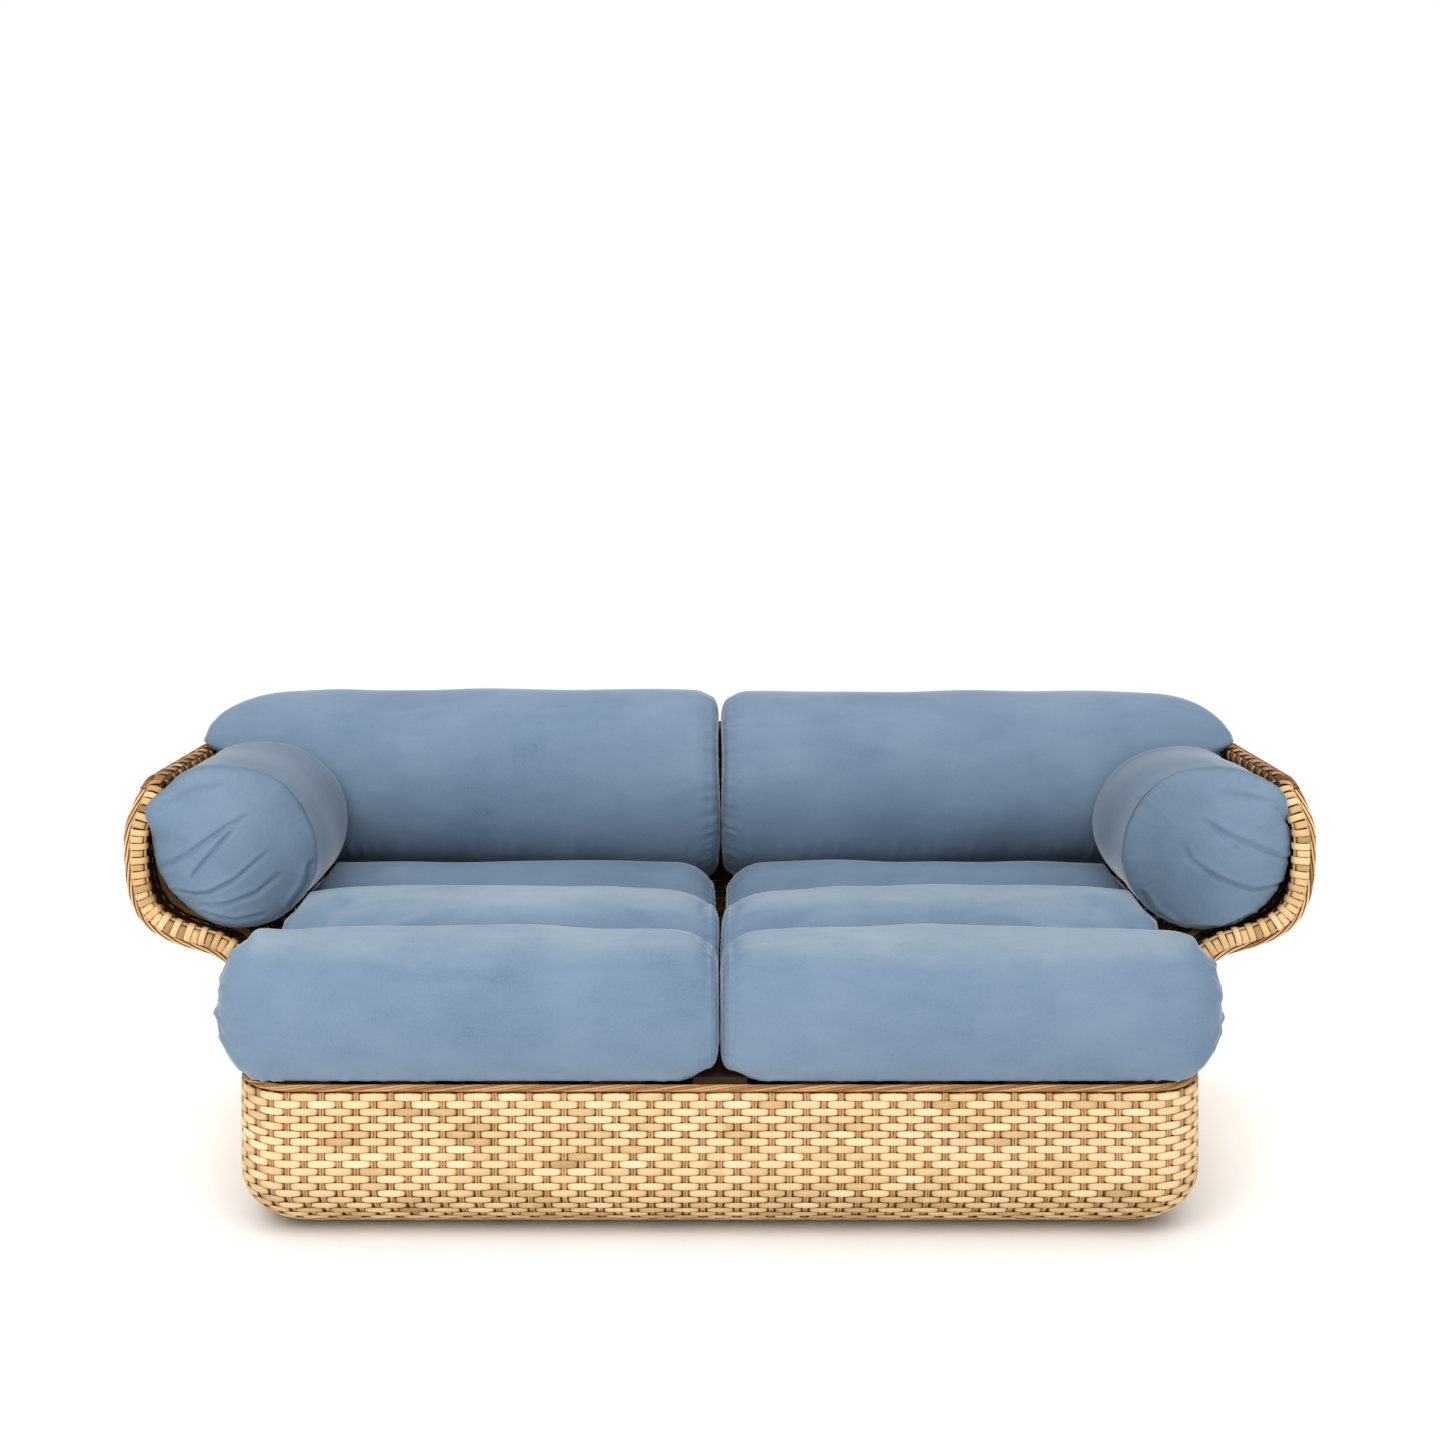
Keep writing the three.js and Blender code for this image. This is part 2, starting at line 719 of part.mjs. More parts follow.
function geometryOf(manifold) {
  const mesh = manifold.getMesh();
  const geometry = new THREE.BufferGeometry();
  geometry.setAttribute("position", new THREE.BufferAttribute(mesh.vertProperties, 3));
  geometry.setIndex(new THREE.BufferAttribute(mesh.triVerts, 1));
  return geometry;
}

const mirrored = (geometry) => {
  const points = geometry.toNonIndexed().attributes.position;
  const flipped = [];
  for (let i = 0; i < points.count; i++) {
    flipped.push(new THREE.Vector3(-points.getX(i), points.getY(i), points.getZ(i)));
  }
  const triangles = [];
  for (let i = 0; i < points.count; i += 3) triangles.push([i, i + 1, i + 2]);
  return facingOut(flipped, triangles);
};

function addPair(name, rightGeometry) {
  add(`left_${name}`, mirrored(rightGeometry), velvet);
  add(`right_${name}`, rightGeometry, velvet);
}

// How far a section has to drop or rise to lie on the inside of the flare, with the touch between.
function restOn(section, depth) {
  const support = flareProfile.map((s) => deeper(s, depth));
  const widest = support.reduce((best, p, i) => (p.x > support[best].x ? i : best), 0);
  const floor = support.slice(0, widest + 1);
  const heightOn = (line, x) => {
    for (let i = 1; i < line.length; i++) {
      const [a, b] = [line[i - 1], line[i]];
      if (x >= Math.min(a.x, b.x) && x <= Math.max(a.x, b.x) && a.x !== b.x) {
        return a.y + ((b.y - a.y) * (x - a.x)) / (b.x - a.x);
      }
    }
    return null;
  };
  let lift = -Infinity;
  for (const p of section) {
    const under = heightOn(floor, p.x);
    if (under !== null) lift = Math.max(lift, under - p.y);
  }
  for (const p of floor) {
    const over = heightOn(section, p.x);
    if (over !== null) lift = Math.max(lift, p.y - over);
  }
  return lift + touch;
}

// The lower half of an ellipse as a row of points, from the inner side to the outer.
function underside(centre, halfAcross, halfUp) {
  const half = ringSides / 2;
  return Array.from({ length: half + 1 }, (_, k) => {
    const angle = Math.PI + (Math.PI * k) / half;
    return v2(centre + halfAcross * Math.cos(angle), halfUp * Math.sin(angle));
  });
}
const linedDepth = weaveThickness + touch + ribDiameter;

// How wide a roll still is at a place near its end, where it is rounded off over a depth.
function openness(at, end, depth) {
  const past = Math.max(0, at - end + depth) / depth;
  return Math.max(tipShare, Math.sqrt(Math.max(0, 1 - past ** 2)));
}

// Back rolls stand on the ledge. They keep just inside the rim, so that they lift straight out.
const rimMiddle = deeper(profileAt(flareProfile, flareLength + rimRadius + touch), rimDepth);
const backInset = rimRadius + backRimGap;
const backEnd = baseHalfWidth + rimMiddle.x - backInset;
const backRear = baseBack + rimMiddle.x - backInset;
const backRearCorner = cornerRadius(rearCornerRadius, rimMiddle.x) - backInset;
const backY = backRear - backHalfDepth;
const backZ = restOn(underside(backY - baseBack, backHalfDepth, backHalfDown), linedDepth);
function backRoll() {
  const stations = rollStations(backHalfGap, backEnd, backInnerFillet, backRearCorner);
  const level = stations[cornerStation].at;
  const cornerStart = backEnd - backRearCorner;
  const rings = stations.map((s) => {
    const closed = s.fillet + s.crown;
    const outer = Math.min(1, Math.max(0, (s.at - level) / (cornerStart - level)));
    const rear = backRear - backRearCorner * (1 - openness(s.at, backEnd, backRearCorner)) - closed;
    const front = backRear - 2 * backHalfDepth + closed
      + backFrontCorner * (1 - openness(s.at, backEnd, backFrontCorner));
    const up = backHalfUp - closed - backTopDrop * (1 - openness(s.at, backEnd, backTopDome));
    const down = (backHalfDown - backCornerLift * outer - s.fillet) * openness(s.at, backEnd, backEndDome);
    return Array.from({ length: ringSides }, (_, k) => {
      const angle = (2 * Math.PI * k) / ringSides;
      const y = (rear + front) / 2 + ((rear - front) / 2) * Math.cos(angle);
      const z = backZ + (angle > Math.PI ? down : up) * Math.sin(angle);
      return new THREE.Vector3(s.at, y, z);
    });
  });
  return loft(rings);
}

// Bolsters lie on the ledge against the arm, from the arm's front edge to the back roll.
const bolsterX = wallReach - linedDepth - bolsterWallGap - bolsterHalfWidth;
const bolsterZ = restOn(underside(bolsterX, bolsterHalfWidth, bolsterHalfDown), linedDepth);
const bolsterFront = -armFront - bolsterFrontOverhang;
const bolsterRear = backY - backHalfDepth - bolsterRearGap;
function bolster() {
  const stations = rollStations(-bolsterRear, -bolsterFront, bolsterRearFillet, bolsterDome);
  const rings = stations.map((s) => {
    const across = (bolsterHalfWidth - s.fillet - s.crown) * s.dome;
    const up = (bolsterHalfUp - s.fillet - s.crown) * s.dome;
    const down = (bolsterHalfDown - s.fillet) * s.dome;
    return Array.from({ length: ringSides }, (_, k) => {
      const angle = (2 * Math.PI * k) / ringSides;
      const x = baseHalfWidth + bolsterX + across * Math.cos(angle);
      const z = bolsterZ + (angle > Math.PI ? down : up) * Math.sin(angle);
      return new THREE.Vector3(x, -s.at, z);
    });
  });
  return loft(rings);
}

// The seat's rolls are spaced evenly from the front edge to the foot of the back roll.
const frontRollY = -baseFront - frontRollOverhang + frontRollRadius;
const rearRollZ = slatTop + touch - rollFlat + rearRollRadius;
const rearReach = (backHalfDepth + backHalfDown) / 2 + rearRollRadius + seatToBackGap;
const rearRollLimit = baseBack - linedDepth - seatWallGap - rearRollRadius;
const rearRollTuck = Math.sqrt(Math.max(0, rearReach ** 2 - (backZ - rearRollZ) ** 2));
const rearRollY = Math.min(backY - rearRollTuck, rearRollLimit);
const middleRollY = (frontRollY + rearRollY) / 2;
function seatCushion() {
  const end = baseHalfWidth - seatEndGap;
  const frontEnd = baseHalfWidth + frontRollOutreach;
  const frontRoll = seatRoll(frontRollRadius, frontRollY, frontEnd, frontRollDome, frontRollSquareness);
  const middleRoll = seatRoll(middleRollRadius, middleRollY, end, rearRollDome, innerRollSquareness);
  const rearRoll = seatRoll(rearRollRadius, rearRollY, end, rearRollDome, innerRollSquareness);
  const padLength = end - rollHalfGap - 2 * seatPadInset;
  const pad = new THREE.BoxGeometry(padLength, rearRollY - frontRollY, seatPadHeight);
  const padX = rollHalfGap + seatPadInset + padLength / 2;
  pad.translate(padX, (rearRollY + frontRollY) / 2, slatTop + touch + seatPadHeight / 2);
  const joined = solid(frontRoll).add(solid(middleRoll)).add(solid(rearRoll)).add(solid(pad));
  const axis = [
    new THREE.Vector3(baseHalfWidth + bolsterX, bolsterFront - cutOverrun, bolsterZ),
    new THREE.Vector3(baseHalfWidth + bolsterX, baseBack, bolsterZ),
  ];
  const hollow = tube(axis, bolsterHalfWidth + touch, ringSides, new THREE.Vector3(1, 0, 0));
  return geometryOf(joined.subtract(solid(hollow)));
}

addPair("seat_cushion", seatCushion());
addPair("back_cushion", backRoll());
addPair("bolster", bolster());

// The origin is on the floor, under the middle of the whole.
const box = new THREE.Box3().setFromObject(whole);
const middle = box.getCenter(new THREE.Vector3());
whole.position.set(-middle.x, -middle.y, -box.min.z);

export default sofa;
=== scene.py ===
import math

import bpy
import numpy as np
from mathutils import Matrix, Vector


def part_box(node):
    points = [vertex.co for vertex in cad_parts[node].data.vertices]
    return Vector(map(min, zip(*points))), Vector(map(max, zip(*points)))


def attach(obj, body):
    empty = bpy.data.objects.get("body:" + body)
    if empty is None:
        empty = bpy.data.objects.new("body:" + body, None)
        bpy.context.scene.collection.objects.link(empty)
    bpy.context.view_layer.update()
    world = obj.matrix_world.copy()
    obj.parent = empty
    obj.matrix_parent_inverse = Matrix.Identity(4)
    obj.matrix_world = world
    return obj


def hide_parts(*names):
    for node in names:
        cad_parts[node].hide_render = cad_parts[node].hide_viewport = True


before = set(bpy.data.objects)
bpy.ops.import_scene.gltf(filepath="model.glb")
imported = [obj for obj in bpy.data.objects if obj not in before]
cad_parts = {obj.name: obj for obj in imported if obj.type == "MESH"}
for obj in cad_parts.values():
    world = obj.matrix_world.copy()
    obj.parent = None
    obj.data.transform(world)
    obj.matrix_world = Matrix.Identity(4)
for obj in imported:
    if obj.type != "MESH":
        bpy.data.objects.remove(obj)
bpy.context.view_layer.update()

rng = np.random.default_rng(7)

# The tub, to the outside of its weave
HALF_WIDTH = 0.696
FRONT = 0.425
BACK = 0.230
FRONT_CORNER = 0.090
REAR_CORNER = 0.110
CORNER_GROWTH = 0.6
FOOT_RADIUS = 0.080
FOOT_FLANGE = 0.034
FOOT_HEIGHT = 0.005
WALL_TOP = 0.1994
TOUCH = 0.0003

# The flare, as three curves from the belt out and up to the rim: offset and height of each point
FLARE_FOOT = WALL_TOP + TOUCH
FLARE_CURVES = (
    ((0, FLARE_FOOT), (0, FLARE_FOOT + 0.078), (0.048, 0.338), (0.100, 0.351)),
    ((0.100, 0.351), (0.188, 0.373), (0.215, 0.395), (0.215, 0.507)),
    ((0.215, 0.507), (0.215, 0.542), (0.206, 0.553), (0.200, 0.583)),
)
ARM_FRONT = 0.170
ARM_SWEEP_DEPTH = 0.115
ARM_SWEEP_RISE = 0.130
ARM_CORNER = 0.055

# Rim poles and the border plaited along their outer side
RIM_RADIUS = 0.011
RIM_PROUD = 0.0005
RIM_DEPTH = RIM_RADIUS - RIM_PROUD
BORDER_RADIUS = 0.005
BORDER_DEPTH = -(RIM_PROUD + TOUCH + BORDER_RADIUS)

# The weave: flat cane over one pair of stakes and under the next
TUB_STAKES = 160
TUB_ROWS = 26
SHELL_STAKES = 110
SHELL_ROWS = 46
SHELL_MIDDLE = 0.15
FLOAT_DEPTH = 0.0012
FLOAT_ARCH = 0.0011
DIP_DEPTH = 0.0052
DIP_RUN = (0.0022, 0.0060)
WAIST_RUN = (0.0030, 0.0120)
# SHADE_RUN: where the painted shade at a dip fades out, measured from the dip's middle
SHADE_RUN = (0.0036, 0.0062)
CORE_DEPTH = 0.0044
CORE_THICKNESS = 0.0006
CORE_ROWS = 2
CANE_THICKNESS = 0.0028
ROW_WOBBLE = 0.0003
WIDTH_SPREAD = 0.03
# The cane's width on the tub and on the shell, each with its waist where it dips under the stakes
TUB_CANE = (0.0112, 0.0034)
SHELL_CANE = (0.0116, 0.0004)
# Round the foot the cane is thinner and its painted shade is deeper, fading out over FOOT_FADE_RUN in height
FOOT_THINNING = 0.12
FOOT_FADE_RUN = (0.040, 0.096)
BEND_PLACES = np.array([0, 0.0026, 0.0046, 0.0074, 0.0140])
STAKE_DEPTH = 0.0036
STAKE_RADIUS = 0.0017
STAKE_SPREAD = 0.0019
STAKE_SIDES = 5
STAKE_WOBBLE = 0.0002
TUB_STAKE_STEPS = 22
SHELL_STAKE_STEPS = 36
SPARE_STAKES = 6
SHORTEST_STAKE = 0.02
FRONT_ROW_RUN = 0.044
CANE_SECTION = np.array([(0.5, 0.0), (0.38, 0.5), (-0.38, 0.5), (-0.5, 0.0), (0.0, -0.5)])
CORE_SECTION = np.array([(0.5, 0.5), (-0.5, 0.5), (-0.5, -0.5), (0.5, -0.5)])

# Tones of the weave's cane, from 0 for dark to 1 for light, how they spread, and the painted shade that takes
# some off
ROW_TONE = 0.60
ROW_DRIFT = 0.04
FLOAT_TONE_SPREAD = 0.07
STAKE_TONE = 0.6
STAKE_TONE_SPREAD = 0.12
STAKE_DRIFT = 0.04
# A dark sheet in the middle of the wall: painted shade where light would show through the weave
CORE_TONE = -0.5
# Painted shade: darker at the dips beside the stakes, towards the ends of each float, and round the tub's
# foot
DIP_SHADE = 0.45
ARCH_SHADE = 0.12
FOOT_SHADE = 0.14
# The cane's inner side is darker: partly its own duller pith side, partly painted shade inside the basket
INNER_SHADE = 0.30

# How finely the curves are measured
CURVE_STEPS = 40
EDGE_STEPS = 400
STAKE_EDGE_STEPS = 120
DRIFT_STEPS = 40
WOBBLE_STEPS = 60


def ring(sides):
    """A round section of radius 1 as (cos, sin) of equal steps."""
    turn = np.arange(sides) * 2 * math.pi / sides
    return np.stack([np.cos(turn), np.sin(turn)], -1)


def eased_step(values, start, end):
    """Smooth step from 0 at start to 1 at end: 3 t^2 - 2 t^3."""
    t = np.clip((values - start) / (end - start), 0, 1)
    return t * t * (3 - 2 * t)


def bump(values, middle, width):
    """exp(-((value - middle) / width)^2)."""
    return np.exp(-(((values - middle) / width) ** 2))


def power(wave, exponent):
    """|value|^exponent with the value's own sign."""
    return np.sign(wave) * np.abs(wave) ** exponent


# Curves of the basket


class Profile:
    """The wall cut across: offset from the tub's outer face and height, by distance along it."""

    def __init__(self, points):
        steps = np.linalg.norm(np.diff(points, axis=0), axis=1)
        keep = np.append(True, steps > 1e-9)
        self.points = points[keep]
        self.distance = np.append(0, np.cumsum(steps))[keep]
        self.length = self.distance[-1]
        self.tangent = np.gradient(self.points, self.distance, axis=0)
        self.tangent /= np.linalg.norm(self.tangent, axis=1, keepdims=True)

    def _mix(self, table, distance):
        return np.stack([np.interp(distance, self.distance, table[:, k]) for k in range(2)], -1)

    def along(self, distance):
        """The unit vector up the wall, as offset and height."""
        way = self._mix(self.tangent, distance)
        return way / np.linalg.norm(way, axis=-1, keepdims=True)

    def at(self, distance, depth):
        """The point at a depth inside the outer face, carried on past the ends: curve + depth * inward."""
        way = self.along(distance)
        inward = np.stack([-way[..., 1], way[..., 0]], -1)
        past = distance - np.clip(distance, 0, self.length)
        depth = np.asarray(depth)[..., None]
        return self._mix(self.points, distance) + way * past[..., None] + inward * depth


def bezier(a, b, c, d):
    """(1-t)^3 a + 3 (1-t)^2 t b + 3 (1-t) t^2 c + t^3 d."""
    t = np.linspace(0, 1, CURVE_STEPS)[:, None]
    a, b, c, d = map(np.array, (a, b, c, d))
    return (1 - t) ** 3 * a + 3 * (1 - t) ** 2 * t * b + 3 * (1 - t) * t**2 * c + t**3 * d


def tub_profile():
    """A flat flange, a quarter circle round the foot, and a straight wall up to the belt."""
    turn = np.linspace(-math.pi / 2, 0, CURVE_STEPS)
    height = FOOT_HEIGHT + FOOT_RADIUS * (1 + np.sin(turn))
    foot = np.stack([-FOOT_RADIUS + FOOT_RADIUS * np.cos(turn), height], -1)
    return Profile(np.concatenate([[(-FOOT_RADIUS - FOOT_FLANGE, FOOT_HEIGHT)], foot, [(0, WALL_TOP)]]))


class Plan:
    """The basket seen from above, as a closed run of straights and corners, from the middle of the front.

    A point is centre + radius * (cos bearing, sin bearing). Between knots all three change in
    proportion to the way travelled, which is measured where the wall's offset is `reference`."""

    def __init__(self, reference):
        signs = [(0, -1), (1, -1), (1, -1), (1, 1), (1, 1), (-1, 1), (-1, 1), (-1, -1), (-1, -1), (0, -1)]
        quarters = [-1, -1, 0, 0, 1, 1, 2, 2, 3, 3]
        self.sign = np.array(signs, float)
        self.bearing = np.array(quarters) * math.pi / 2
        rear = self.sign[:, 1] > 0
        self.radius = np.where(rear, REAR_CORNER, FRONT_CORNER)
        reach = np.stack([np.full(len(signs), HALF_WIDTH), np.where(rear, BACK, FRONT)], -1)
        self.centre = self.sign * (reach - self.radius[:, None])
        middle = self.centre + self.sign * (1 - CORNER_GROWTH) * reference
        straight = np.linalg.norm(np.diff(middle, axis=0), axis=1)
        bend = np.diff(self.bearing) * (self.radius[:-1] + CORNER_GROWTH * reference)
        self.way = np.append(0, np.cumsum(straight + bend))
        self.length = self.way[-1]

    def at(self, way, offset):
        """Points and outward bearings, as (..., 2) arrays."""
        way, offset = np.broadcast_arrays(way % self.length, offset)
        here = np.clip(np.searchsorted(self.way, way, side="right") - 1, 0, len(self.way) - 2)
        share = (way - self.way[here]) / (self.way[here + 1] - self.way[here])

        def mixed(table):
            t = share if table.ndim == 1 else share[..., None]
            return (1 - t) * table[here] + t * table[here + 1]

        bearing = mixed(self.bearing)
        out = np.stack([np.cos(bearing), np.sin(bearing)], -1)
        grown = mixed(self.sign) * ((1 - CORNER_GROWTH) * offset)[..., None]
        radius = mixed(self.radius) + CORNER_GROWTH * offset
        return mixed(self.centre) + grown + radius[..., None] * out, out


def wall(plan, profile, way, distance, depth):
    """Points at a depth in the wall, with unit vectors outwards, along it and up it."""
    way, distance, depth = np.broadcast_arrays(way, distance, depth)
    section = profile.at(distance, depth)
    rise = profile.along(distance)
    spot, out = plan.at(way, section[..., 0])
    point = np.concatenate([spot, section[..., 1:]], -1)
    outward = np.concatenate([out * rise[..., 1:], -rise[..., :1]], -1)
    upward = np.concatenate([out * rise[..., :1], rise[..., 1:]], -1)
    along = np.stack([-out[..., 1], out[..., 0], np.zeros(out.shape[:-1])], -1)
    return point, outward, along, upward


TUB = tub_profile()
FLARE = Profile(np.concatenate([bezier(*c) for c in FLARE_CURVES]))
TUB_PLAN = Plan(0.0)
SHELL_PLAN = Plan(SHELL_MIDDLE)


def arm_reach(distance):
    """How far forward an arm's weave reaches: a sweep at its foot and a rounded corner at its top."""
    left = np.clip(1 - distance / ARM_SWEEP_RISE, 0, 1)
    past = np.clip(distance - FLARE.length + ARM_CORNER, 0, ARM_CORNER)
    sweep = ARM_SWEEP_DEPTH * (1 - np.sqrt(1 - left**2))
    return ARM_FRONT + sweep - ARM_CORNER + np.sqrt(ARM_CORNER**2 - past**2)


def arm_way(distance):
    """Where along the shell's plan the front edge of the right arm stands."""
    offset = FLARE.at(distance, 0)[..., 0]
    grown = (1 - CORNER_GROWTH) * offset
    front = FRONT - FRONT_CORNER + grown
    span = front + BACK - REAR_CORNER + grown
    share = (front - arm_reach(distance)) / span
    return SHELL_PLAN.way[2] + share * (SHELL_PLAN.way[3] - SHELL_PLAN.way[2])


# Meshes

# How far apart the grain of neighbouring strands, and of a mesh's batches of strands, is set
STRAND_SHIFT = 1.37
BATCH_SHIFT = 0.01


def signed_volume(points, quads):
    """A measure of the volume that quads close, below zero where they face inwards."""
    first, second, third = (points[quads[:, corner]] for corner in range(3))
    return np.einsum("ij,ij->i", first, np.cross(second, third)).sum()


def faces_of(strands, samples, sides, closed, first=0):
    """Quads between neighbouring rings of each strand, and the caps of open ends."""
    base = first + np.arange(strands)[:, None, None] * samples * sides
    step = np.arange(samples if closed else samples - 1)[None, :, None]
    side = np.arange(sides)[None, None, :]
    here = base + step * sides
    ahead = base + ((step + 1) % samples) * sides
    turned = (side + 1) % sides
    quads = np.stack([here + side, here + turned, ahead + turned, ahead + side], -1).reshape(-1, 4)
    if closed:
        return quads, np.empty((0, sides), int)
    start = base[:, 0, :] + np.arange(sides)[::-1]
    end = base[:, 0, :] + (samples - 1) * sides + np.arange(sides)
    return quads, np.concatenate([start, end])


class Strands:
    """Gathers the rings of many strands into one mesh, with the tone and the grain of each point."""

    def __init__(self):
        self.points, self.quads, self.caps, self.tones, self.grains = [], [], [], [], []
        self.count = 0

    def add(self, centre, across, thick, section, tone, closed=False, inner_shade=0.0):
        """Rings centre + across * x + thick * y, for each (x, y) of the section.

        centre, across and thick are (strands, samples, 3) arrays, and tone is (strands, samples). The tone
        is less by inner_shade where y is at its least: a darker inner side, partly the cane's own and partly
        painted shade."""
        strands, samples = centre.shape[:2]
        sides = len(section)
        rings = centre[:, :, None] + across[:, :, None] * section[:, :1] + thick[:, :, None] * section[:, 1:]
        travelled = np.linalg.norm(np.diff(centre, axis=1), axis=-1).cumsum(1)
        travelled = np.concatenate([np.zeros((strands, 1)), travelled], 1)
        travelled = travelled + np.arange(strands)[:, None] * STRAND_SHIFT
        width = np.linalg.norm(across, axis=-1)
        shape = rings.shape[:3]
        grain = np.stack(
            [
                np.broadcast_to(travelled[..., None], shape),
                width[..., None] * section[:, 0] + self.count * BATCH_SHIFT,
                width[..., None] * section[:, 1],
            ],
            -1,
        )
        quads, caps = faces_of(strands, samples, sides, closed, self.count)
        self.points.append(rings.reshape(-1, 3))
        self.grains.append(grain.reshape(-1, 3))
        inner = inner_shade * np.clip(section[:, 1] / section[:, 1].min(), 0, 1)
        self.tones.append(np.broadcast_to(np.asarray(tone)[..., None] - inner, shape).reshape(-1))
        self.quads.append(quads)
        self.caps.append(caps)
        self.count += rings[..., 0].size

    def make(self, name, material, body, nodes=()):
        """One piece of all the strands, with the attributes tone and grain that its paint reads."""
        points = np.concatenate(self.points)
        quads = np.concatenate(self.quads)
        turned = signed_volume(points, quads) < 0
        loops = [a[:, ::-1] if turned else a for a in [quads, *self.caps] if len(a)]
        piece = mesh_piece(name, points, loops, material, body, nodes)
        attribute = piece.data.attributes.new("tone", "FLOAT", "POINT")
        attribute.data.foreach_set("value", np.concatenate(self.tones).astype(np.float32))
        attribute = piece.data.attributes.new("grain", "FLOAT_VECTOR", "POINT")
        attribute.data.foreach_set("vector", np.concatenate(self.grains).astype(np.float32).ravel())
        return piece


def mesh_piece(name, points, loops, material, body, nodes=()):
    """A smooth piece from points and lists of faces with equal numbers of corners."""
    mesh = bpy.data.meshes.new(name)
    corners = np.concatenate([a.ravel() for a in loops]).astype(np.int32)
    totals = np.concatenate([np.full(len(a), a.shape[1]) for a in loops]).astype(np.int32)
    mesh.vertices.add(len(points))
    mesh.vertices.foreach_set("co", points.astype(np.float32).ravel())
    mesh.loops.add(len(corners))
    mesh.loops.foreach_set("vertex_index", corners)
    mesh.polygons.add(len(totals))
    mesh.polygons.foreach_set("loop_start", np.append(0, np.cumsum(totals)[:-1]).astype(np.int32))
    mesh.polygons.foreach_set("loop_total", totals)
    mesh.polygons.foreach_set("use_smooth", np.ones(len(totals), bool))
    mesh.update(calc_edges=True)
    mesh.materials.append(material)
    piece = bpy.data.objects.new(name, mesh)
    bpy.context.scene.collection.objects.link(piece)
    if body:
        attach(piece, body)
    if nodes:
        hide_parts(*nodes)
    return piece


# Materials

# Where the velvet's seams are, beside the middle of the sofa
SEAM_REACH = 0.0110
SEAM_WIDTH = 0.0016

# Reliefs in metres, and how much smaller each pattern is along X, Y and Z, or along, across and through cane
FINE_RELIEF = 0.0003
VELVET_RELIEF = 0.0007
FIBRE_SCALE = (60, 1500, 1500)
PATCH_SCALE = (45, 60, 60)
VELVET_STREAK_SCALE = (14, 60, 34)
POLE_STREAK_SCALE = (40, 40, 160)
BRUSHED_SCALE = 6.0
NAP_SCALE = 420.0
FLECK_SCALE = 260.0

# Colours in sRGB, from 0 to 255, each with the tone that has it
CANE_STOPS = ((0.0, (84, 54, 28)), (0.3, (186, 146, 96)), (0.55, (229, 198, 150)), (0.85, (244, 221, 182)))
BRAID_STOPS = ((0.0, (96, 58, 24)), (0.35, (160, 110, 62)), (0.65, (206, 160, 104)), (0.95, (236, 200, 150)))
STAKE_STOPS = ((0.0, (172, 120, 78)), (0.5, (206, 158, 112)), (1.0, (228, 188, 142)))
WRAP_STOPS = ((0.0, (80, 48, 24)), (0.25, (146, 102, 60)), (0.6, (222, 182, 128)), (0.95, (246, 216, 168)))
POLE_STOPS = ((0.3, (150, 105, 60)), (0.7, (196, 148, 94)))
# The slats are dark: painted shade for the gap between the seats, where they show
SHADED_SLAT_STOPS = ((0.3, (74, 50, 32)), (0.7, (104, 74, 48)))
GLIDE_STOPS = ((0.3, (38, 36, 34)), (0.7, (52, 49, 46)))
VELVET_LIGHT = (122, 142, 162)
VELVET_DEEP = (104, 125, 147)
SHEEN_TINT = (225, 234, 245)
# What the velvet's colour is multiplied by for painted light: a painted highlight at 0, none at 0.5 and
# painted shade at 1
PAINTED_LIGHT_STOPS = ((0.0, (1.42, 1.27, 1.12)), (0.5, (1, 1, 1)), (1.0, (0.74, 0.73, 0.72)))
BLACK_TO_WHITE = ((0.0, (0, 0, 0)), (1.0, (1, 1, 1)))


class Value:
    """A number socket that adds its Math nodes as Python sums are written."""

    def __init__(self, paint, socket):
        self.paint = paint
        self.socket = socket

    def _math(self, operation, first, second):
        node = self.paint.node("ShaderNodeMath", operation=operation, inputs={0: first, 1: second})
        return Value(self.paint, node.outputs[0])

    def __add__(self, other):
        return self._math("ADD", self, other)

    def __sub__(self, other):
        return self._math("SUBTRACT", self, other)

    def __rsub__(self, other):
        return self._math("SUBTRACT", other, self)

    def __abs__(self):
        return self._math("ABSOLUTE", self, 0.0)

    def __mul__(self, other):
        return self._math("MULTIPLY", self, other)

    __radd__ = __add__
    __rmul__ = __mul__


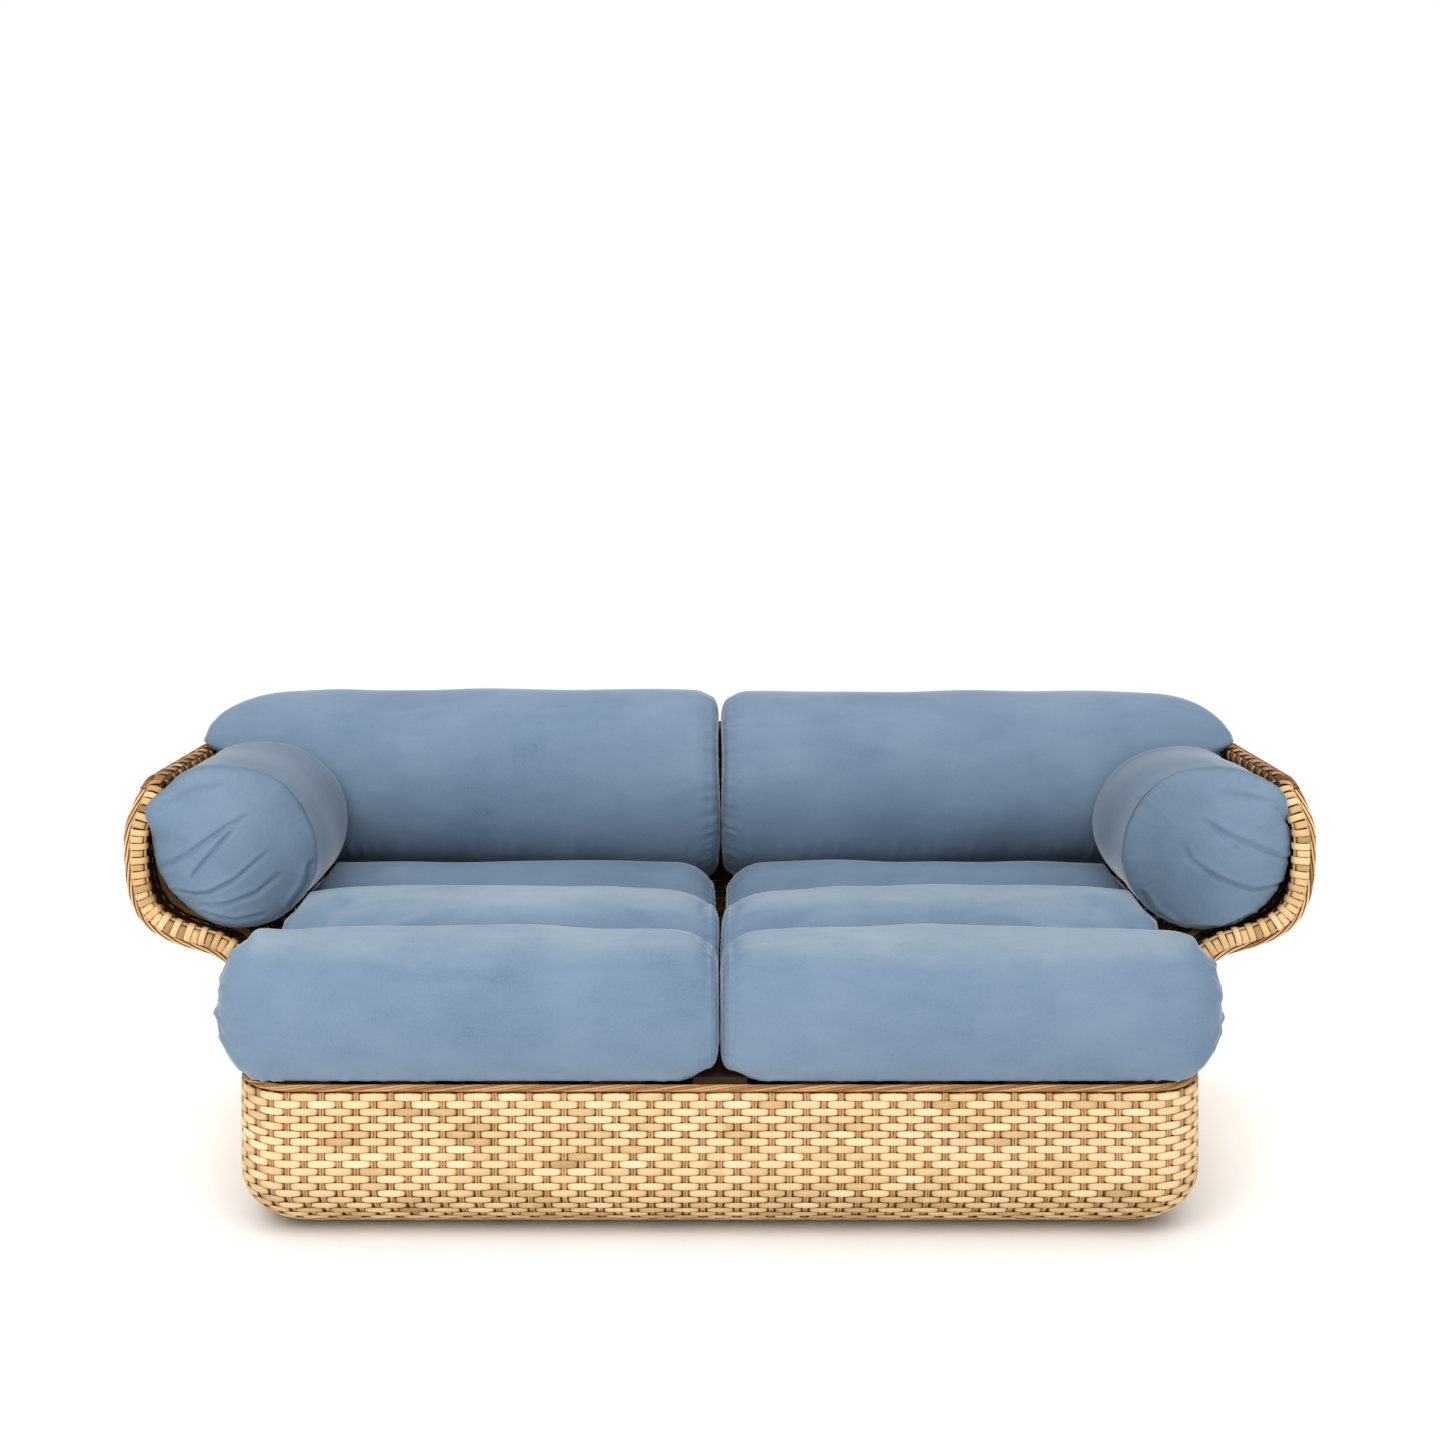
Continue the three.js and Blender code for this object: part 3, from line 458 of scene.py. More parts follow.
class Nodes:
    """A tree of shader nodes under construction."""

    def __init__(self, tree):
        self.tree = tree

    def node(self, kind, inputs=None, stops=None, **settings):
        """Adds a node: its settings first, then a ramp's stops, then the values or links of its sockets."""
        node = self.tree.nodes.new(kind)
        for key, value in settings.items():
            setattr(node, key, value)
        if stops:
            ramp = node.color_ramp.elements
            while len(ramp) < len(stops):
                ramp.new(0.5)
            for element, (place, colour) in zip(ramp, stops):
                element.position = place
                element.color = (*colour, 1)
        for key, value in (inputs or {}).items():
            self.put(node.inputs[key], value)
        return node

    def put(self, socket, value):
        """Links a socket to a Value or another socket, or sets it to a number or a vector."""
        if isinstance(value, Value):
            value = value.socket
        if isinstance(value, bpy.types.NodeSocket):
            self.tree.links.new(value, socket)
        else:
            socket.default_value = value

    def value(self, socket):
        """A number socket to do sums with."""
        return Value(self, socket)

    def parts(self, vector):
        """The X, Y and Z of a vector socket."""
        return [self.value(out) for out in self.node("ShaderNodeSeparateXYZ", inputs={0: vector}).outputs]

    def attribute(self, name):
        """The outputs of a node that reads an attribute of the piece."""
        return self.node("ShaderNodeAttribute", attribute_type="GEOMETRY", attribute_name=name).outputs

    def place(self, socket, scale):
        """A place scaled along X, Y and Z, for patterns that are longer one way."""
        return self.node("ShaderNodeMapping", inputs={"Vector": socket, "Scale": scale}).outputs[0]

    def noise(self, place, scale, detail=2.0, roughness=0.5):
        """Soft noise from 0 to 1, about 0.5 on average."""
        inputs = {"Vector": place, "Scale": scale, "Detail": detail, "Roughness": roughness}
        return self.value(self.node("ShaderNodeTexNoise", inputs=inputs).outputs[0])

    def ramp(self, share, stops):
        """The colour that stops of (share, colour) give at a share."""
        return self.node("ShaderNodeValToRGB", stops=stops, inputs={0: share}).outputs[0]

    def vector(self, operation, first, second=None, output=0):
        """A sum of vectors, or a measure of one."""
        inputs = {0: first} if second is None else {0: first, 1: second}
        return self.node("ShaderNodeVectorMath", operation=operation, inputs=inputs).outputs[output]

    def object_place(self):
        """The place in the piece's own frame, in metres."""
        return self.node("ShaderNodeTexCoord").outputs["Object"]


class Paint(Nodes):
    """A node material under construction."""

    def __init__(self, name, colour):
        self.material = bpy.data.materials.new(name)
        self.material.use_nodes = True
        self.material.diffuse_color = (*colour, 1)
        super().__init__(self.material.node_tree)
        self.shader = self.tree.nodes["Principled BSDF"]

    def finish(self, colour, roughness, height=None, relief=0.0, **constants):
        """Feeds the shader's sockets, with a bump of the given relief in metres."""
        self.put(self.shader.inputs["Base Color"], colour)
        self.put(self.shader.inputs["Roughness"], roughness)
        for key, value in constants.items():
            self.shader.inputs[key.replace("_", " ")].default_value = value
        if height is not None:
            inputs = {"Height": height, "Distance": relief, "Strength": 1.0}
            raised = self.node("ShaderNodeBump", inputs=inputs)
            self.put(self.shader.inputs["Normal"], raised.outputs[0])
        return self.material


def linear(red, green, blue):
    """A colour given in 0 to 255 of sRGB, as linear light."""
    share = np.array([red, green, blue]) / 255
    light = np.where(share <= 0.04045, share / 12.92, ((share + 0.055) / 1.055) ** 2.4)
    return tuple(float(part) for part in light)


def linear_stops(stops):
    """A ramp's stops with their sRGB colours as linear light."""
    return [(place, linear(*colour)) for place, colour in stops]


def cane_paint(name, stops, gloss=0.48):
    """Split cane: colour by the strand's own tone, with long fine fibres and darker flecks."""
    stops = linear_stops(stops)
    paint = Paint(name, stops[len(stops) // 2][1])
    tone = paint.value(paint.attribute("tone")["Fac"])
    grain = paint.attribute("grain")["Vector"]
    fibre = paint.noise(paint.place(grain, FIBRE_SCALE), 1.0, 3.0, 0.6)
    patch = paint.noise(paint.place(grain, PATCH_SCALE), 1.0, 2.0)
    share = tone + (fibre - 0.5) * 0.26 + (patch - 0.5) * 0.16
    colour = paint.ramp(share, stops)
    rough = gloss + (fibre * 0.2)
    return paint.finish(colour, rough, fibre, FINE_RELIEF, Specular_IOR_Level=0.2)


def velvet_paint(name):
    """Short-pile velvet: brushed patches, a fine nap, a soft sheen, and a sewn seam where |x| is SEAM_REACH.

    The piece's own attribute paints light and shade into the colour: a painted highlight at 0, none at 0.5,
    painted shade at 1."""
    base, deep = linear(*VELVET_LIGHT), linear(*VELVET_DEEP)
    paint = Paint(name, base)
    place = paint.object_place()
    brushed = paint.noise(place, BRUSHED_SCALE, 3.0, 0.55)
    nap = paint.noise(place, NAP_SCALE, 2.0, 0.6)
    streak = paint.noise(paint.place(place, VELVET_STREAK_SCALE), 1.0, 2.0)
    off = abs(abs(paint.parts(place)[0]) - SEAM_REACH)
    flat = paint.value(paint.ramp(off * (1 / SEAM_WIDTH), BLACK_TO_WHITE))
    share = (brushed * 0.7 + streak * 0.3 + (nap - 0.5) * 0.4) * (flat * 0.25 + 0.75)
    colour = paint.ramp(share, [(0.15, tuple(part * 0.6 for part in deep)), (0.32, deep), (0.75, base)])
    # Painted highlight and painted shade from the piece's attribute
    painted_light = paint.ramp(paint.attribute("painted_light")["Fac"], PAINTED_LIGHT_STOPS)
    return paint.finish(
        paint.vector("MULTIPLY", colour, painted_light),
        0.75 + nap * 0.2,
        nap * 0.4 + flat * 0.6,
        VELVET_RELIEF,
        Sheen_Weight=1.0,
        Sheen_Roughness=0.24,
        Sheen_Tint=(*linear(*SHEEN_TINT), 1),
        Specular_IOR_Level=0.15,
    )


def pole_paint(name, stops, gloss=0.45):
    """Bent pole, plain wood or a moulded glide: streaks and small flecks, on object coordinates."""
    stops = linear_stops(stops)
    paint = Paint(name, stops[0][1])
    place = paint.object_place()
    streak = paint.noise(paint.place(place, POLE_STREAK_SCALE), 1.0, 3.0)
    fleck = paint.noise(place, FLECK_SCALE, 2.0)
    colour = paint.ramp(streak * 0.75 + fleck * 0.25, stops)
    return paint.finish(colour, gloss + fleck * 0.2, fleck, FINE_RELIEF)


cane = cane_paint("woven_cane", CANE_STOPS)
braid = cane_paint("braided_cane", BRAID_STOPS)
shade_cane = cane_paint("stake_cane", STAKE_STOPS)
wrapped_cane = cane_paint("wrapped_cane", WRAP_STOPS)
velvet = velvet_paint("dusty_blue_velvet")
pole = pole_paint("rattan_pole", POLE_STOPS)
slat_wood = pole_paint("slat_wood", SHADED_SLAT_STOPS, 0.6)
glide_plastic = pole_paint("glide_plastic", GLIDE_STOPS, 0.55)


# Weave


def bend_offsets(pitch):
    """Where a cane's stations are beside each dip, and the one in the middle of its next float."""
    return np.concatenate([-BEND_PLACES[:0:-1], BEND_PLACES, [pitch]])


def cane_ways(begin, end, pitch, parity):
    """Stations along each row, close together where its cane bends under a pair of stakes.

    All rows get as many stations as the longest, spread over their own."""
    offsets = bend_offsets(pitch)
    rows = []
    for first, last, odd in zip(begin, end, parity):
        low = math.floor((first / pitch + odd) / 2) - 2
        high = math.ceil((last / pitch + odd) / 2) + 2
        number = np.arange(low, high)
        stations = (pitch * (2 * number[:, None] + 1 - odd) + offsets).ravel()
        inside = stations[(stations > first + STAKE_RADIUS) & (stations < last - STAKE_RADIUS)]
        rows.append(np.concatenate([[first], inside, [last]]))
    longest = max(map(len, rows))
    spread = [np.linspace(0, len(row) - 1, longest) for row in rows]
    return np.array([np.interp(places, np.arange(len(row)), row) for places, row in zip(spread, rows)])


def row_tones(way, pitch, parity):
    """Tone of each row: a slow drift along the cane, and a step of its own for each float."""
    rows = len(way)
    place = np.linspace(way.min(), way.max(), DRIFT_STEPS)
    drift = rng.normal(0, ROW_DRIFT, (rows, len(place)))
    slow = np.stack([np.interp(way[k], place, drift[k]) for k in range(rows)])
    floats = int(np.ptp(way) / pitch) + 4
    step = rng.normal(0, FLOAT_TONE_SPREAD, (rows, floats))
    number = np.floor((way / pitch + parity[:, None] + 1) / 2).astype(int) % floats
    return ROW_TONE + slow + np.take_along_axis(step, number, 1)


def add_weavers(strands, plan, profile, way, distance, pitch, parity, cane_size, closed):
    """Flat cane along each row: a long float with a low arch over one pair of stakes, and a steep dip
    under the next, with eased steps of the distance from the middle of the dip.

    The cane is narrower by its waist at a dip, and thinner still round the tub's foot. Its tone has painted
    shade at the dips, towards the floats' ends and round the foot. Only the rows that have ends wobble."""
    rows = len(distance)
    past = np.abs((way / pitch + parity[:, None]) % 2 - 1) * pitch
    dip = 1 - eased_step(past, *DIP_RUN)
    arch = (1 - past / pitch) ** 2
    place = np.linspace(way.min(), way.max(), WOBBLE_STEPS)
    wobble = np.stack([np.interp(way[k], place, rng.normal(0, ROW_WOBBLE, len(place))) for k in range(rows)])
    wobble *= 0 if closed else 1
    depth = FLOAT_DEPTH + FLOAT_ARCH * arch + DIP_DEPTH * dip
    point, outward, _, upward = wall(plan, profile, way, distance[:, None] + wobble, depth)
    full, waist = cane_size
    foot = 1 - eased_step(point[..., 2], *FOOT_FADE_RUN)
    width = full - waist * (1 - eased_step(past, *WAIST_RUN)) * (1 + foot)
    width = width * (1 + rng.normal(0, WIDTH_SPREAD, (rows, 1))) * (1 - FOOT_THINNING * foot)
    # Painted shade at the dips, deeper round the foot, and towards the floats' ends by their arch
    shade = DIP_SHADE * (1 + foot) * (1 - eased_step(past, *SHADE_RUN))
    tone = row_tones(way, pitch, parity) - shade - ARCH_SHADE * arch - FOOT_SHADE * foot
    thick = outward * CANE_THICKNESS
    strands.add(point, upward * width[..., None], thick, CANE_SECTION, tone, closed, INNER_SHADE)


def add_core(strands, plan, profile, way, distance, row_pitch, closed):
    """A dark sheet in the middle of the wall, between the floats in front of the stakes and the dips behind
    them: painted shade where light would show through the weave.
    """
    point, outward, _, upward = wall(plan, profile, way, distance[:, None], CORE_DEPTH)
    width = upward * (CORE_ROWS * row_pitch)
    dark = np.full(point.shape[:2], CORE_TONE)
    strands.add(point, width, outward * CORE_THICKNESS, CORE_SECTION, dark, closed)


def add_stakes(strands, plan, profile, way, low, high, samples):
    """Pairs of round stakes up the wall at each way, side by side."""
    share = np.linspace(0, 1, samples)
    for shift in (-STAKE_SPREAD, STAKE_SPREAD):
        run = (way + shift)[:, None] + rng.normal(0, STAKE_WOBBLE, (len(way), samples))
        distance = low[:, None] + (high - low)[:, None] * share
        point, outward, along, _ = wall(plan, profile, run, distance, STAKE_DEPTH)
        tone = STAKE_TONE + rng.normal(0, STAKE_TONE_SPREAD, (len(way), 1))
        tone = tone + rng.normal(0, STAKE_DRIFT, (len(way), samples))
        strands.add(point, outward * STAKE_RADIUS, along * STAKE_RADIUS, ring(STAKE_SIDES), tone)


def woven(strands, name, material, node):
    """Makes the strands a piece of the basket's weave, in the place of a CAD node."""
    strands.make(name, material, "basket", [node])


def weave_tub():
    """Rows right round the tub, and one more between the feet of the arms, under the front rim."""
    pitch = TUB_PLAN.length / TUB_STAKES
    row_pitch = TUB.length / TUB_ROWS
    dips = 2 * np.arange(TUB_STAKES // 2) + 1
    offsets = bend_offsets(pitch)
    for label, rows in zip(("low", "high"), np.array_split(np.arange(TUB_ROWS), 2)):
        strands = Strands()
        parity = rows % 2
        way = pitch * (dips - parity[:, None])[..., None] + offsets
        way = way.reshape(len(rows), -1)
        add_weavers(strands, TUB_PLAN, TUB, way, (rows + 0.5) * row_pitch, pitch, parity, TUB_CANE, True)
        cores = rows[::CORE_ROWS]
        around = np.arange(TUB_STAKES) * pitch + np.zeros((len(cores), 1))
        add_core(strands, TUB_PLAN, TUB, around, (cores + CORE_ROWS / 2) * row_pitch, row_pitch, True)
        woven(strands, f"tub_weave_{label}", cane, "base_weave")
    reach = TUB_PLAN.way[2] + FRONT_ROW_RUN
    strands = Strands()
    parity = np.array([TUB_ROWS % 2])
    way = cane_ways([-reach], [reach], pitch, parity)
    above = np.array([TUB.length + row_pitch / 2])
    add_weavers(strands, TUB_PLAN, TUB, way, above, pitch, parity, TUB_CANE, False)
    woven(strands, "front_top_row", cane, "front_rim")
    stakes = Strands()
    way = (np.arange(TUB_STAKES) - TUB_STAKES // 2) * pitch
    none = np.zeros(TUB_STAKES)
    high = TUB.length + np.where(np.abs(way) < reach, row_pitch, 0)
    add_stakes(stakes, TUB_PLAN, TUB, way, none, high, TUB_STAKE_STEPS)
    woven(stakes, "tub_stakes", shade_cane, "base_weave")


def weave_shell():
    """Rows from the front edge of the right arm round the back to that of the left.

    Where the arms' weaves meet the back's, a row is parted at the nearest stakes that it passes under."""
    row_pitch = FLARE.length / SHELL_ROWS
    start = arm_way(np.array([FLARE.length / 2]))[0]
    last = SHELL_STAKES - 1
    pitch = (SHELL_PLAN.length - 2 * start) / last
    corner = int(round((SHELL_PLAN.way[3] - start) / pitch))
    rows = np.arange(SHELL_ROWS)
    distance = (rows + 0.5) * row_pitch
    first = arm_way(distance) - RIM_RADIUS / 2
    right = start + pitch * (corner + (rows + corner + 1) % 2)
    left = start + pitch * (last - corner - (rows + corner) % 2)
    low_rows, high_rows = np.array_split(rows, 2)
    parts = (
        ("right_arm_weave", "right_arm_weavers", rows, first, right),
        ("back_weave", "back_weavers_low", low_rows, right, left),
        ("back_weave", "back_weavers_high", high_rows, right, left),
        ("left_arm_weave", "left_arm_weavers", rows, left, SHELL_PLAN.length - first),
    )
    for node, name, chosen, begin, end in parts:
        strands = Strands()
        parity = chosen % 2 - start / pitch
        way = cane_ways(begin[chosen], end[chosen], pitch, parity)
        add_weavers(strands, SHELL_PLAN, FLARE, way, distance[chosen], pitch, parity, SHELL_CANE, False)
        cores = chosen[::CORE_ROWS]
        longest = int((end[chosen] - begin[chosen]).max() / pitch) + 2
        along = np.linspace(begin[cores], end[cores], longest, axis=1)
        add_core(strands, SHELL_PLAN, FLARE, along, (cores + CORE_ROWS / 2) * row_pitch, row_pitch, False)
        woven(strands, name, cane, node)
    way = start + pitch * np.arange(-SPARE_STAKES, SHELL_STAKES + SPARE_STAKES)
    heights = np.linspace(0, FLARE.length, STAKE_EDGE_STEPS)
    edge = arm_way(heights)
    nearest = np.minimum(way, SHELL_PLAN.length - way)
    inside = nearest[:, None] >= edge + STAKE_SPREAD
    low = np.where(inside.any(1), heights[inside.argmax(1)], 0)
    high = np.where(inside.any(1), heights[len(heights) - 1 - inside[:, ::-1].argmax(1)], 0)
    long_enough = high - low > SHORTEST_STAKE
    sides = (
        ("right_arm", way < SHELL_PLAN.way[3]),
        ("back", (way >= SHELL_PLAN.way[3]) & (way <= SHELL_PLAN.way[6])),
        ("left_arm", way > SHELL_PLAN.way[6]),
    )
    for label, here in sides:
        keep = here & long_enough
        stakes = Strands()
        add_stakes(stakes, SHELL_PLAN, FLARE, way[keep], low[keep], high[keep], SHELL_STAKE_STEPS)
        woven(stakes, f"{label}_stakes", shade_cane, f"{label}_weave")


weave_tub()
weave_shell()


# Rims

RIM_STEP = 0.0026
LINE_OVERRUN = 0.004
OVAL_POWER = 0.8
# Where the bands of an arm's front edge end and the pads of its top begin
FRONT_OVERRUN = 0.045
FRONT_END = FLARE.length + FRONT_OVERRUN

# Bands round the rim: how they rise, and darken with painted shade, with the angle in radians, from a start
# over a run
WRAP_THICKNESS = 0.0020
BAND_HALF_WIDTH = 0.0108
BAND_HALF_DEPTH = 0.0092
BAND_STEPS = 11
LIFT_START = -0.4
LIFT_RUN = 1.4
LIFT_DEPTH_SHARE = 0.25
FADE_START = 0.7
FADE_RUN = 1.5

# The arms' front edges. Angles are in degrees, off the edge at 0 and on the inner side at 90
WRAP_PITCH = 0.01095
BAND_WIDTH = 0.0105
BAND_WIDTH_SPREAD = 0.0005
BAND_TONE = 0.64
BAND_TONE_SPREAD = 0.12
BAND_LIFT = 0.0046
BAND_LOW = -84
RAISED_HIGH = 132
RAISED_INWARD_SHADE = 0.5
RECESSED_HIGH = 62
RECESSED_INWARD_SHADE = 0.7
# Recessed bands are darker: painted shade
RECESSED_SHADE = 0.10
UNDER_ANGLES = (84, 108)
UNDER_LIFT = 0.0006
UNDER_RADIUS = 0.0017
UNDER_TONE = 0.55

# The top rims: each row's low and high angle, its shift in pitches, and how much lighter it is; these low
# tones, far darker than the front edges' bands, are painted shade
PAD_ROWS = ((-100, 28, 0.5, 0.08), (30, 128, 1.0, 0.0))
PAD_PITCH = 0.035
PAD_LENGTH = 0.0285
PAD_SPREAD = 0.0008
PAD_LIFT = 0.0008
PAD_TONE_SPREAD = 0.09
SLIP_START = 0.004
SLIP_BESIDE = 0.0019
SLIP_RUN = 0.008
SLIP_RADIUS = 0.0015
SLIP_LIFT = 0.0018
SLIP_INSET = (8, 6)
SLIP_STEPS = 9
SLIP_SIDES = 5
# The slips' low tone is painted shade, like the pads'
SLIP_TONE = 0.38
SLIP_TONE_SPREAD = 0.1

# Cores: the half sizes of the rim's, the radius of the others, and their tones
CORE_HALF_SIZE = (0.0100, 0.0088)
CORE_SET_BACK = 0.001
# The rim's core is dark: painted shade in the gaps between its bands
RIM_CORE_TONE = 0.05
BORDER_CORE = 0.0046
BRAID_CORE = 0.0030
HIDDEN_TONE = 0.0

# Cables: number of strands, length of a turn, how far each winds from the middle, its radius and its tone
FRONT_CABLE = (5, 0.15, 0.0038, 0.0018, 0.56)
# The top's cable has a low tone, darker than the front's: painted shade
TOP_CABLE = (4, 0.055, 0.0034, 0.0024, 0.20)
BRAID_CABLE = (6, 0.150, 0.0034, 0.0016, 0.44)
CABLE_TONE_SPREAD = 0.12
CABLE_DRIFT = 0.03
ROUND_SIDES = 6
CORE_SIDES = 8
BRAID_HEIGHT = 0.2162
BRAID_OFFSET = -0.0052


def evenly(points, step):
    """Points at equal steps along a row of points."""
    travelled = np.append(0, np.linalg.norm(np.diff(points, axis=0), axis=1).cumsum())
    count = int(round(travelled[-1] / step)) + 1
    way = np.linspace(0, travelled[-1], count)
    return np.stack([np.interp(way, travelled, points[:, k]) for k in range(points.shape[1])], -1)


def unit(vectors):
    """Vectors scaled to length 1."""
    return vectors / np.linalg.norm(vectors, axis=-1, keepdims=True)


def edge_line():
    """The rim's line in the surface of the right arm: distance up the wall and reach to the front."""
    distance = np.linspace(0, FLARE.length, EDGE_STEPS)
    line = np.stack([distance, arm_reach(distance)], -1)
    way = unit(np.gradient(line, axis=0))
    sideways = np.stack([-way[:, 1], way[:, 0]], -1)
    return (line + sideways * (RIM_RADIUS + TOUCH))[1:-1]


def arm_line(depth, rear):
    """The right rim at a depth in the wall, up its front edge and back along its top, with normals."""
    line = edge_line()
    top = FLARE.length + RIM_RADIUS + TOUCH
    before = (line[0, 0] - LINE_OVERRUN, line[0, 1])
    after = (top, line[-1, 1] - LINE_OVERRUN)
    line = np.concatenate([[before], line, [after]])
    section = FLARE.at(line[:, 0], depth)
    rise = FLARE.along(line[:, 0])
    points = np.stack([HALF_WIDTH + section[:, 0], -line[:, 1], section[:, 1]], -1)
    normals = np.stack([rise[:, 1], 0 * rise[:, 0], -rise[:, 0]], -1)
    points = np.concatenate([points, [(points[-1, 0], rear, points[-1, 2])]])
    normals = np.concatenate([normals, normals[-1:]])
    both = evenly(np.concatenate([points, normals], 1), RIM_STEP)
    return both[:, :3], unit(both[:, 3:])


def back_line(depth):
    """The rim across the back at a depth in the wall, from the right rear corner to the left one."""
    top = np.array(FLARE.length + RIM_RADIUS + TOUCH)
    offset, height = FLARE.at(top, depth)
    rise = FLARE.along(top)
    way = np.arange(SHELL_PLAN.way[3], SHELL_PLAN.way[6], RIM_STEP)
    spot, out = SHELL_PLAN.at(way, offset)
    points = np.concatenate([spot, np.full((len(way), 1), height)], 1)
    normals = np.concatenate([out * rise[1], np.full((len(way), 1), -rise[0])], 1)
    return points, normals


class Rim:
    """A rim's line with unit vectors along it, out of the wall, and off the wall's edge."""

    def __init__(self, points, along, outward, edge):
        self.points, self.along, self.outward, self.edge = points, along, outward, edge
        self.way = np.append(0, np.linalg.norm(np.diff(points, axis=0), axis=1).cumsum())
        self.length = self.way[-1]

    @classmethod
    def on_wall(cls, points, normals, mirrored=False):
        """The rim on a line of points with the wall's normals, or on its mirror image across X."""
        side = -1 if mirrored else 1
        points, normals = points * [side, 1, 1], normals * [side, 1, 1]
        along = unit(np.gradient(points, axis=0))
        outward = unit(normals - along * np.sum(normals * along, -1, keepdims=True))
        return cls(points, along, outward, np.cross(outward, along) * side)

    def _pick(self, table, way):
        way = np.clip(way, 0, self.length)
        return np.stack([np.interp(way, self.way, table[:, k]) for k in range(3)], -1)

    def around(self, way, angle, half_width, half_depth):
        """Points on an oval round the line, off the edge at 0 degrees and on the inner side at 90.

        Across it is half_width |sin|^p, and off the edge half_depth |cos|^p, with p = OVAL_POWER. Also gives
        the vectors along the rim and away from its line."""
        sine = np.sin(angle)
        cosine = np.cos(angle)
        outward = self._pick(self.outward, way)
        edge = self._pick(self.edge, way)
        across = power(sine, OVAL_POWER) * half_width
        off = power(cosine, OVAL_POWER) * half_depth
        points = self._pick(self.points, way) - outward * across[..., None] + edge * off[..., None]
        radial = unit(edge * cosine[..., None] - outward * sine[..., None])
        return points, self._pick(self.along, way), radial

    def part(self, begin, end):
        """The rim between two ways along it, as a rim of its own."""
        here = (self.way >= begin) & (self.way <= end)
        return Rim(self.points[here], self.along[here], self.outward[here], self.edge[here])


def add_core_rod(strands, rim, half_width, half_depth, tone):
    """A smooth rod inside a rim, that shows between its strands."""
    across, deep = rim.outward[None] * half_width, rim.edge[None] * half_depth
    strands.add(rim.points[None], across, deep, ring(CORE_SIDES), np.full((1, len(rim.points)), tone))


def add_cable(strands, rim, count, turn, reach, radius, tone):
    """Strands wound round a line: centre + reach * (cos, sin)(2 pi way / turn + k / count)."""
    angle = 2 * math.pi * (rim.way / turn + (np.arange(count) / count)[:, None])
    radial = rim.outward * np.cos(angle)[..., None] + rim.edge * np.sin(angle)[..., None]
    centre = rim.points + reach * radial
    across = unit(np.cross(unit(np.gradient(centre, axis=1)), radial))
    tones = tone + rng.normal(0, CABLE_TONE_SPREAD, (count, 1))
    tones = tones + rng.normal(0, CABLE_DRIFT, (count, len(rim.points)))
    strands.add(centre, across * radius, radial * radius, ring(ROUND_SIDES), tones)


def add_bands(strands, rim, places, width, low, high, lift, tone, fade=0.0):
    """Flat cane laid across the rim from a low to a high angle in degrees.

    Each band is lifted off the rim towards its inner end, where it also gets darker by fade: painted shade
    where it turns in."""
    angle = np.broadcast_to(np.radians(np.linspace(low, high, BAND_STEPS)), (len(places), BAND_STEPS))
    way = np.broadcast_to(places[:, None], angle.shape)
    half_width = BAND_HALF_WIDTH + lift * np.clip((angle - LIFT_START) / LIFT_RUN, 0, 1) ** 2
    half_depth = BAND_HALF_DEPTH + LIFT_DEPTH_SHARE * lift
    points, along, radial = rim.around(way, angle, half_width, half_depth)
    size = width[:, None, None]
    shade = fade * np.clip((angle - FADE_START) / FADE_RUN, 0, 1)
    strands.add(points, along * size, radial * WRAP_THICKNESS, CANE_SECTION, tone[:, None] - shade)


def add_slips(strands, rim, places, low, high, tone):
    """Thin round strands that cross the rim from a low to a high angle while they run on along it."""
    share = np.linspace(0, 1, SLIP_STEPS)
    angle = np.broadcast_to(np.radians(low + (high - low) * share), (len(places), len(share)))
    way = places[:, None] + SLIP_RUN * (share - 0.5)
    points, along, radial = rim.around(way, angle, BAND_HALF_WIDTH + SLIP_LIFT, BAND_HALF_DEPTH + SLIP_LIFT)
    tones = tone[:, None] + 0 * angle
    strands.add(points, along * SLIP_RADIUS, radial * SLIP_RADIUS, ring(SLIP_SIDES), tones)


def band_front(strands, rim, end):
    """The front edge of an arm: bands side by side over a pair of thin strands.

    Every other band is raised and reaches right round to the inside. The strands show where the rest stop."""
    places = np.arange(WRAP_PITCH / 2, end, WRAP_PITCH)
    count = len(places)
    raised = np.arange(count) % 2 == 0
    width = BAND_WIDTH + rng.normal(0, BAND_WIDTH_SPREAD, count)
    tone = BAND_TONE + rng.normal(0, BAND_TONE_SPREAD, count)
    # Raised and recessed bands; the recessed are darker, and both darken towards the inside: painted shade
    kinds = (
        (raised, RAISED_HIGH, BAND_LIFT, 0, RAISED_INWARD_SHADE),
        (~raised, RECESSED_HIGH, 0, RECESSED_SHADE, RECESSED_INWARD_SHADE),
    )
    for here, high, lift, shade, fade in kinds:
        add_bands(strands, rim, places[here], width[here], BAND_LOW, high, lift, tone[here] - shade, fade)
    line = rim.part(0, end)
    for degrees in UNDER_ANGLES:
        angle = np.full(len(line.points), math.radians(degrees))
        points, _, radial = line.around(line.way, angle, BAND_HALF_WIDTH + UNDER_LIFT, BAND_HALF_DEPTH)
        across = np.cross(radial, line.along)[None] * UNDER_RADIUS
        tones = np.full((1, len(points)), UNDER_TONE)
        strands.add(points[None], across, radial[None] * UNDER_RADIUS, ring(ROUND_SIDES), tones)


